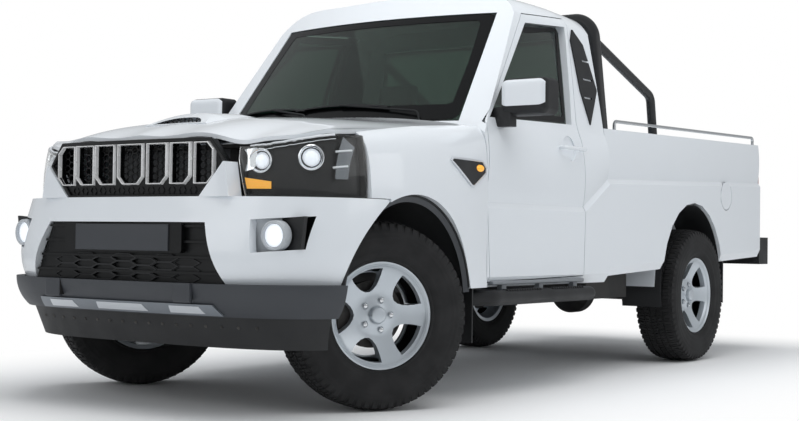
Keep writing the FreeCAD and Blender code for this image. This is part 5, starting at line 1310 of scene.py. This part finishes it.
def tailLampBands():
    t = tailLampSpec
    for finish, zs in t["bands"].items():
        finishPair(roundEdges(sideBlock("tailBand_" + finish, 1, t["x"], t["y"], zs), 0.004, 3), finish)


rearSpec = {
    "handle": {"half": 0.085, "y": (2.309, 2.322), "z": (1.190, 1.245), "inset": (0.010, -0.006),
               "edge": 0.003},
    "plate": {"half": 0.262, "y": (2.309, 2.3165), "z": (0.800, 0.922), "inset": (0.008, -0.003),
              "edge": 0.0015},
    "lever": {"half": 0.060, "y": (2.315, 2.327), "z": (1.205, 1.228)},
    "ribs": {"count": 9, "first": -0.48, "step": 0.12, "half": 0.022, "y": (0.16, 2.24), "z": (0.7695, 0.7780)},
}


def rearDish(name, spec):
    # shallow dish on the tailgate
    dish = sideBlock(name, 1, (-spec["half"], spec["half"]), spec["y"], spec["z"])
    insetFaces(dish, lambda n: n.y > 0.9, *spec["inset"])
    finishPiece(roundEdges(dish, spec["edge"]), "blackPlastic", "tailgate")


def rearDetails():
    rearDish("tailgateHandle", rearSpec["handle"])
    spec = rearSpec["lever"]
    lever = sideBlock("tailgateLever", 1, (-spec["half"], spec["half"]), spec["y"], spec["z"])
    finishPiece(roundEdges(lever, 0.004, 3), "blackPlastic", "tailgate")
    r = rearSpec["ribs"]
    ribs = []
    for k in range(r["count"]):
        x = r["first"] + r["step"] * k
        ribs.append(roundEdges(sideBlock("floorRib", 1, (x - r["half"], x + r["half"]), r["y"], r["z"]), 0.004))
    finishPiece(joinPieces("bedFloorRibs", ribs), "paint")
    rearDish("rearPlateFrame", rearSpec["plate"])


stepSpec = {
    "pads": ((-1.02, -0.70), (-0.60, -0.28)), "ribs": 14, "ribHalf": 0.007, "ribX": (0.868, 0.898),
    "ribZ": (0.470, 0.478), "barX": (0.812, 0.866), "barY": (-1.09, -0.22), "barZ": (0.497, 0.515),
    "stays": (-0.98, -0.64, -0.30), "stayHalf": 0.02, "stayX": (0.83, 0.858), "stayZ": (0.462, 0.500),
}


def stepPads():
    # ribbed treads on the side steps, and the bar above each step with its stays
    s = stepSpec
    for side, hand in hands:
        ribs = []
        for y0, y1 in s["pads"]:
            for k in range(s["ribs"]):
                y = y0 + (y1 - y0) * (k + 0.5) / s["ribs"]
                ys = (y - s["ribHalf"], y + s["ribHalf"])
                ribs.append(roundEdges(sideBlock("stepRib", side, s["ribX"], ys, s["ribZ"]), 0.002, 1))
        finishPiece(joinPieces("stepRibs_" + hand, ribs), "blackPlastic")
        bars = [roundEdges(sideBlock("upperBar", side, s["barX"], s["barY"], s["barZ"]), 0.006, 3)]
        for y in s["stays"]:
            ys = (y - s["stayHalf"], y + s["stayHalf"])
            bars.append(roundEdges(sideBlock("barStay", side, s["stayX"], ys, s["stayZ"]), 0.003))
        finishPiece(joinPieces("stepBar_" + hand, bars), "satinGrey")


seatSpec = {
    "centre": 0.380, "voxel": 0.010, "pressure": 4.0, "frames": 20, "cap": 0.013, "round": 0.028,
    "cushion": (0.236, (-0.756, -0.264), (0.756, 0.878)), "cushionLane": 0.15,
    "cushionRows": (-0.62, -0.51, -0.40),
    "back": (0.226, (-0.294, -0.196), (0.900, 1.392)), "backLane": 0.14, "backRows": (1.02, 1.14, 1.26),
    "rest": (0.118, (-0.132, -0.072), (1.412, 1.548)),
    # depth and width of the sewn channels
    "lane": (0.010, 0.018), "row": (0.006, 0.014),
    # lean of the backrest over its height, and of the headrest
    "backFoot": 0.9, "backHeight": 0.49, "backLean": 0.145, "backBow": 0.008, "restFoot": 1.41,
    "restHeight": 0.14, "restLean": 0.022,
    "posts": {"apart": 0.06, "line": ((-0.150, 1.36), (-0.132, 1.40), (-0.112, 1.46)), "radius": 0.006},
    "rails": {"apart": 0.19, "half": 0.02, "y": (-0.72, -0.28), "z": (0.700, 0.752)},
}


def padShape(name, half, ys, zs, cuts=7):
    # block with rounded edges, divided so that the sides can swell between the corners
    centre = seatSpec["centre"]
    pad = startBlock(name, (centre - half, ys[0], zs[0]), (centre + half, ys[1], zs[1]))
    openMesh(pad, everything=True)
    bpy.ops.mesh.subdivide(number_cuts=cuts)
    closeMesh()
    return roundEdges(pad, seatSpec["round"], 4, 60)


def swell(pad):
    # even mesh, blown up as cloth under pressure; no point moves further than the cap
    s = seatSpec
    makeActive(pad)
    pad.data.remesh_voxel_size = s["voxel"]
    bpy.ops.object.voxel_remesh()
    start = [v.co.copy() for v in pad.data.vertices]
    cloth = pad.modifiers.new("stuffing", "CLOTH")
    cloth.settings.use_pressure = True
    cloth.settings.uniform_pressure_force = s["pressure"]
    cloth.settings.effector_weights.gravity = 0
    cloth.settings.quality = 5
    cloth.point_cache.frame_start = 1
    cloth.point_cache.frame_end = s["frames"]
    for step in range(1, s["frames"] + 1):
        scene.frame_set(step)
    applyModifiers(pad)
    for vertex, place in zip(pad.data.vertices, start):
        move = vertex.co - place
        if move.length > s["cap"]:
            vertex.co = place + move.normalized() * s["cap"]
    scene.frame_set(1)


def sewChannels(pad, axis, places, depth, width, test):
    # narrow sewn lines pressed into the swollen pad
    for vertex in pad.data.vertices:
        if not test(vertex):
            continue
        for place in places:
            gap = abs(vertex.co[axis] - place)
            if gap < width:
                vertex.co -= vertex.normal * depth * (1 + math.cos(math.pi * gap / width)) / 2


def sewPad(pad, lane, axis, rows, outward):
    # two long channels and short ones across the lane between them
    s = seatSpec
    centre = s["centre"]
    sewChannels(pad, 0, (centre - lane, centre + lane), *s["lane"], lambda v: outward(v) > 0.35)
    sewChannels(pad, axis, rows, *s["row"], lambda v: outward(v) > 0.5 and abs(v.co.x - centre) < lane)


def softenPad(pad):
    fine = pad.modifiers.new("finer", "SUBSURF")
    fine.levels = 1
    fine.render_levels = 1
    applyModifiers(pad)


def seatFrames():
    # two posts under each headrest and two rails under each cushion
    post, rail = seatSpec["posts"], seatSpec["rails"]
    frames = []
    for centre in (seatSpec["centre"], -seatSpec["centre"]):
        for x in (centre - post["apart"], centre + post["apart"]):
            frames.append(startPipe("restPost", [(x, y, z) for y, z in post["line"]], post["radius"]))
        for x in (centre - rail["apart"], centre + rail["apart"]):
            xs = (x - rail["half"], x + rail["half"])
            frames.append(roundEdges(sideBlock("seatRail", 1, xs, rail["y"], rail["z"]), 0.004))
    finishPiece(joinPieces("seatFrames", frames), "powder")


def addSeats():
    s = seatSpec
    cushion = padShape("seatCushion", *s["cushion"])
    swell(cushion)
    sewPad(cushion, s["cushionLane"], 1, s["cushionRows"], lambda v: v.normal.z)
    back = padShape("seatBack", *s["back"])
    swell(back)
    sewPad(back, s["backLane"], 2, s["backRows"], lambda v: -v.normal.y)
    for vertex in back.data.vertices:
        share = (vertex.co.z - s["backFoot"]) / s["backHeight"]
        vertex.co.y += s["backLean"] * share + s["backBow"] * (share - 0.3)
    rest = padShape("headRest", *s["rest"], 4)
    swell(rest)
    for vertex in rest.data.vertices:
        vertex.co.y += s["restLean"] * (vertex.co.z - s["restFoot"]) / s["restHeight"]
    for pad in (cushion, back, rest):
        softenPad(pad)
    for pad in (cushion, back, rest):
        other = copyOf(pad, pad.name + "Right", Matrix.Translation((-2 * s["centre"], 0, 0)))
        for piece in (pad, other):
            finishPiece(piece, "cloth", "truck", 50, ("seats",) if piece == cushion else ())
    seatFrames()


steeringSpec = {
    "centre": (0.380, -0.990, 1.010), "axis": (0, 0.9, 0.42), "reach": 0.215, "radius": 0.185, "grip": 0.0155,
    "hub": [(0.018, 0.0002), (0.016, 0.035), (0.006, 0.058), (-0.02, 0.064), (-0.045, 0.05), (-0.09, 0.03),
            (-0.09, 0.0002)],
    "spokes": (0, 180, 270), "spokeFrom": (0.045, -0.020, -0.012), "spokeHalf": 0.020, "spokeTop": 0.004,
}


def addSteeringWheel():
    w = steeringSpec
    axis = Vector(w["axis"]).normalized()
    centre = Vector(w["centre"]) + axis * w["reach"]
    deselectAll()
    bpy.ops.mesh.primitive_torus_add(major_radius=w["radius"], minor_radius=w["grip"], major_segments=72,
                                     minor_segments=16, location=(0, 0, 0))
    parts = [bpy.context.object]
    hub = spinProfile("hub", w["hub"], 40)
    hub.data.transform(Matrix.Rotation(math.radians(-90), 4, "Y"))
    parts.append(hub)
    for angle in w["spokes"]:
        spoke = startBlock("spoke", w["spokeFrom"], (w["radius"], w["spokeHalf"], w["spokeTop"]))
        for vertex in spoke.data.vertices:
            if vertex.co.x > 0.1:
                vertex.co.y *= 0.7
        roundEdges(spoke, 0.005, 3)
        spoke.data.transform(Matrix.Rotation(math.radians(angle), 4, "Z"))
        parts.append(spoke)
    wheel = joinPieces("steeringWheelRim", parts)
    turn = Vector((0, 0, 1)).rotation_difference(axis).to_matrix().to_4x4()
    wheel.data.transform(Matrix.Translation(centre) @ turn)
    finishPiece(wheel, "trimDark", "steering_wheel", 35, ("steering_wheel",))


cabinSpec = {
    "cardX": (0.790, 0.802), "cardY": (-1.02, -0.16), "cardZ": (0.62, 1.20), "cardInset": (0.07, -0.006),
    "armX": (0.742, 0.792), "armY": (-0.86, -0.42), "armZ": (0.905, 0.950),
    "linerHalf": 0.58, "linerY": (-0.70, -0.08), "linerDrop": 0.008, "eyeLevel": 1.45,
    "matHalf": 0.62, "matY": (-1.02, -0.30), "matLift": 0.008, "kneeLevel": 0.74, "floorLevel": 0.60,
}


def addCabin():
    # soft headliner, door cards with arm rests, and floor mat
    c = cabinSpec

    def linerSpot(u, v):
        x, y = (2 * u - 1) * c["linerHalf"], between(c["linerY"], v)
        found = meetNear("cab_shell", (x, y, c["eyeLevel"]), (0, 0, 1), (0, -0.4, c["eyeLevel"]))
        return Vector((x, y, found.z - c["linerDrop"]))

    def matSpot(u, v):
        x, y = (2 * u - 1) * c["matHalf"], between(c["matY"], v)
        found = meet("cab_shell", (x, y, c["kneeLevel"]), (0, 0, -1))
        return Vector((x, y, (found.z if found else c["floorLevel"]) + c["matLift"]))

    addSheet("headliner", 14, 10, linerSpot, 0.004, "felt")
    for side, hand in hands:
        card = sideBlock("doorCard", side, c["cardX"], c["cardY"], c["cardZ"])
        insetFaces(card, lambda n: n.x * side < -0.9, *c["cardInset"])
        roundEdges(card, 0.003)
        arm = roundEdges(sideBlock("armRest", side, c["armX"], c["armY"], c["armZ"]), 0.012, 3)
        finishPiece(joinPieces("doorCard_" + hand, [card, arm]), "trim", "door_" + hand)
    addSheet("floorMat", 24, 14, matSpot, 0.006, "seal")


grilleMesh()
mouthGrille()
print("grille meshed")
headlamps()
fogLamps()
print("lamps fitted")
glassBands()
print("glass bordered")
mirrorCaps()
skidInlays()
towCovers()
valanceBolts()
archLinings()
gapShadeSheet()
wingTrims()
scoopMesh()
tailLampBands()
rearDetails()
stepPads()
print("trim fitted")
addSeats()
print("seats padded")
addSteeringWheel()
addCabin()
print("cabin fitted")
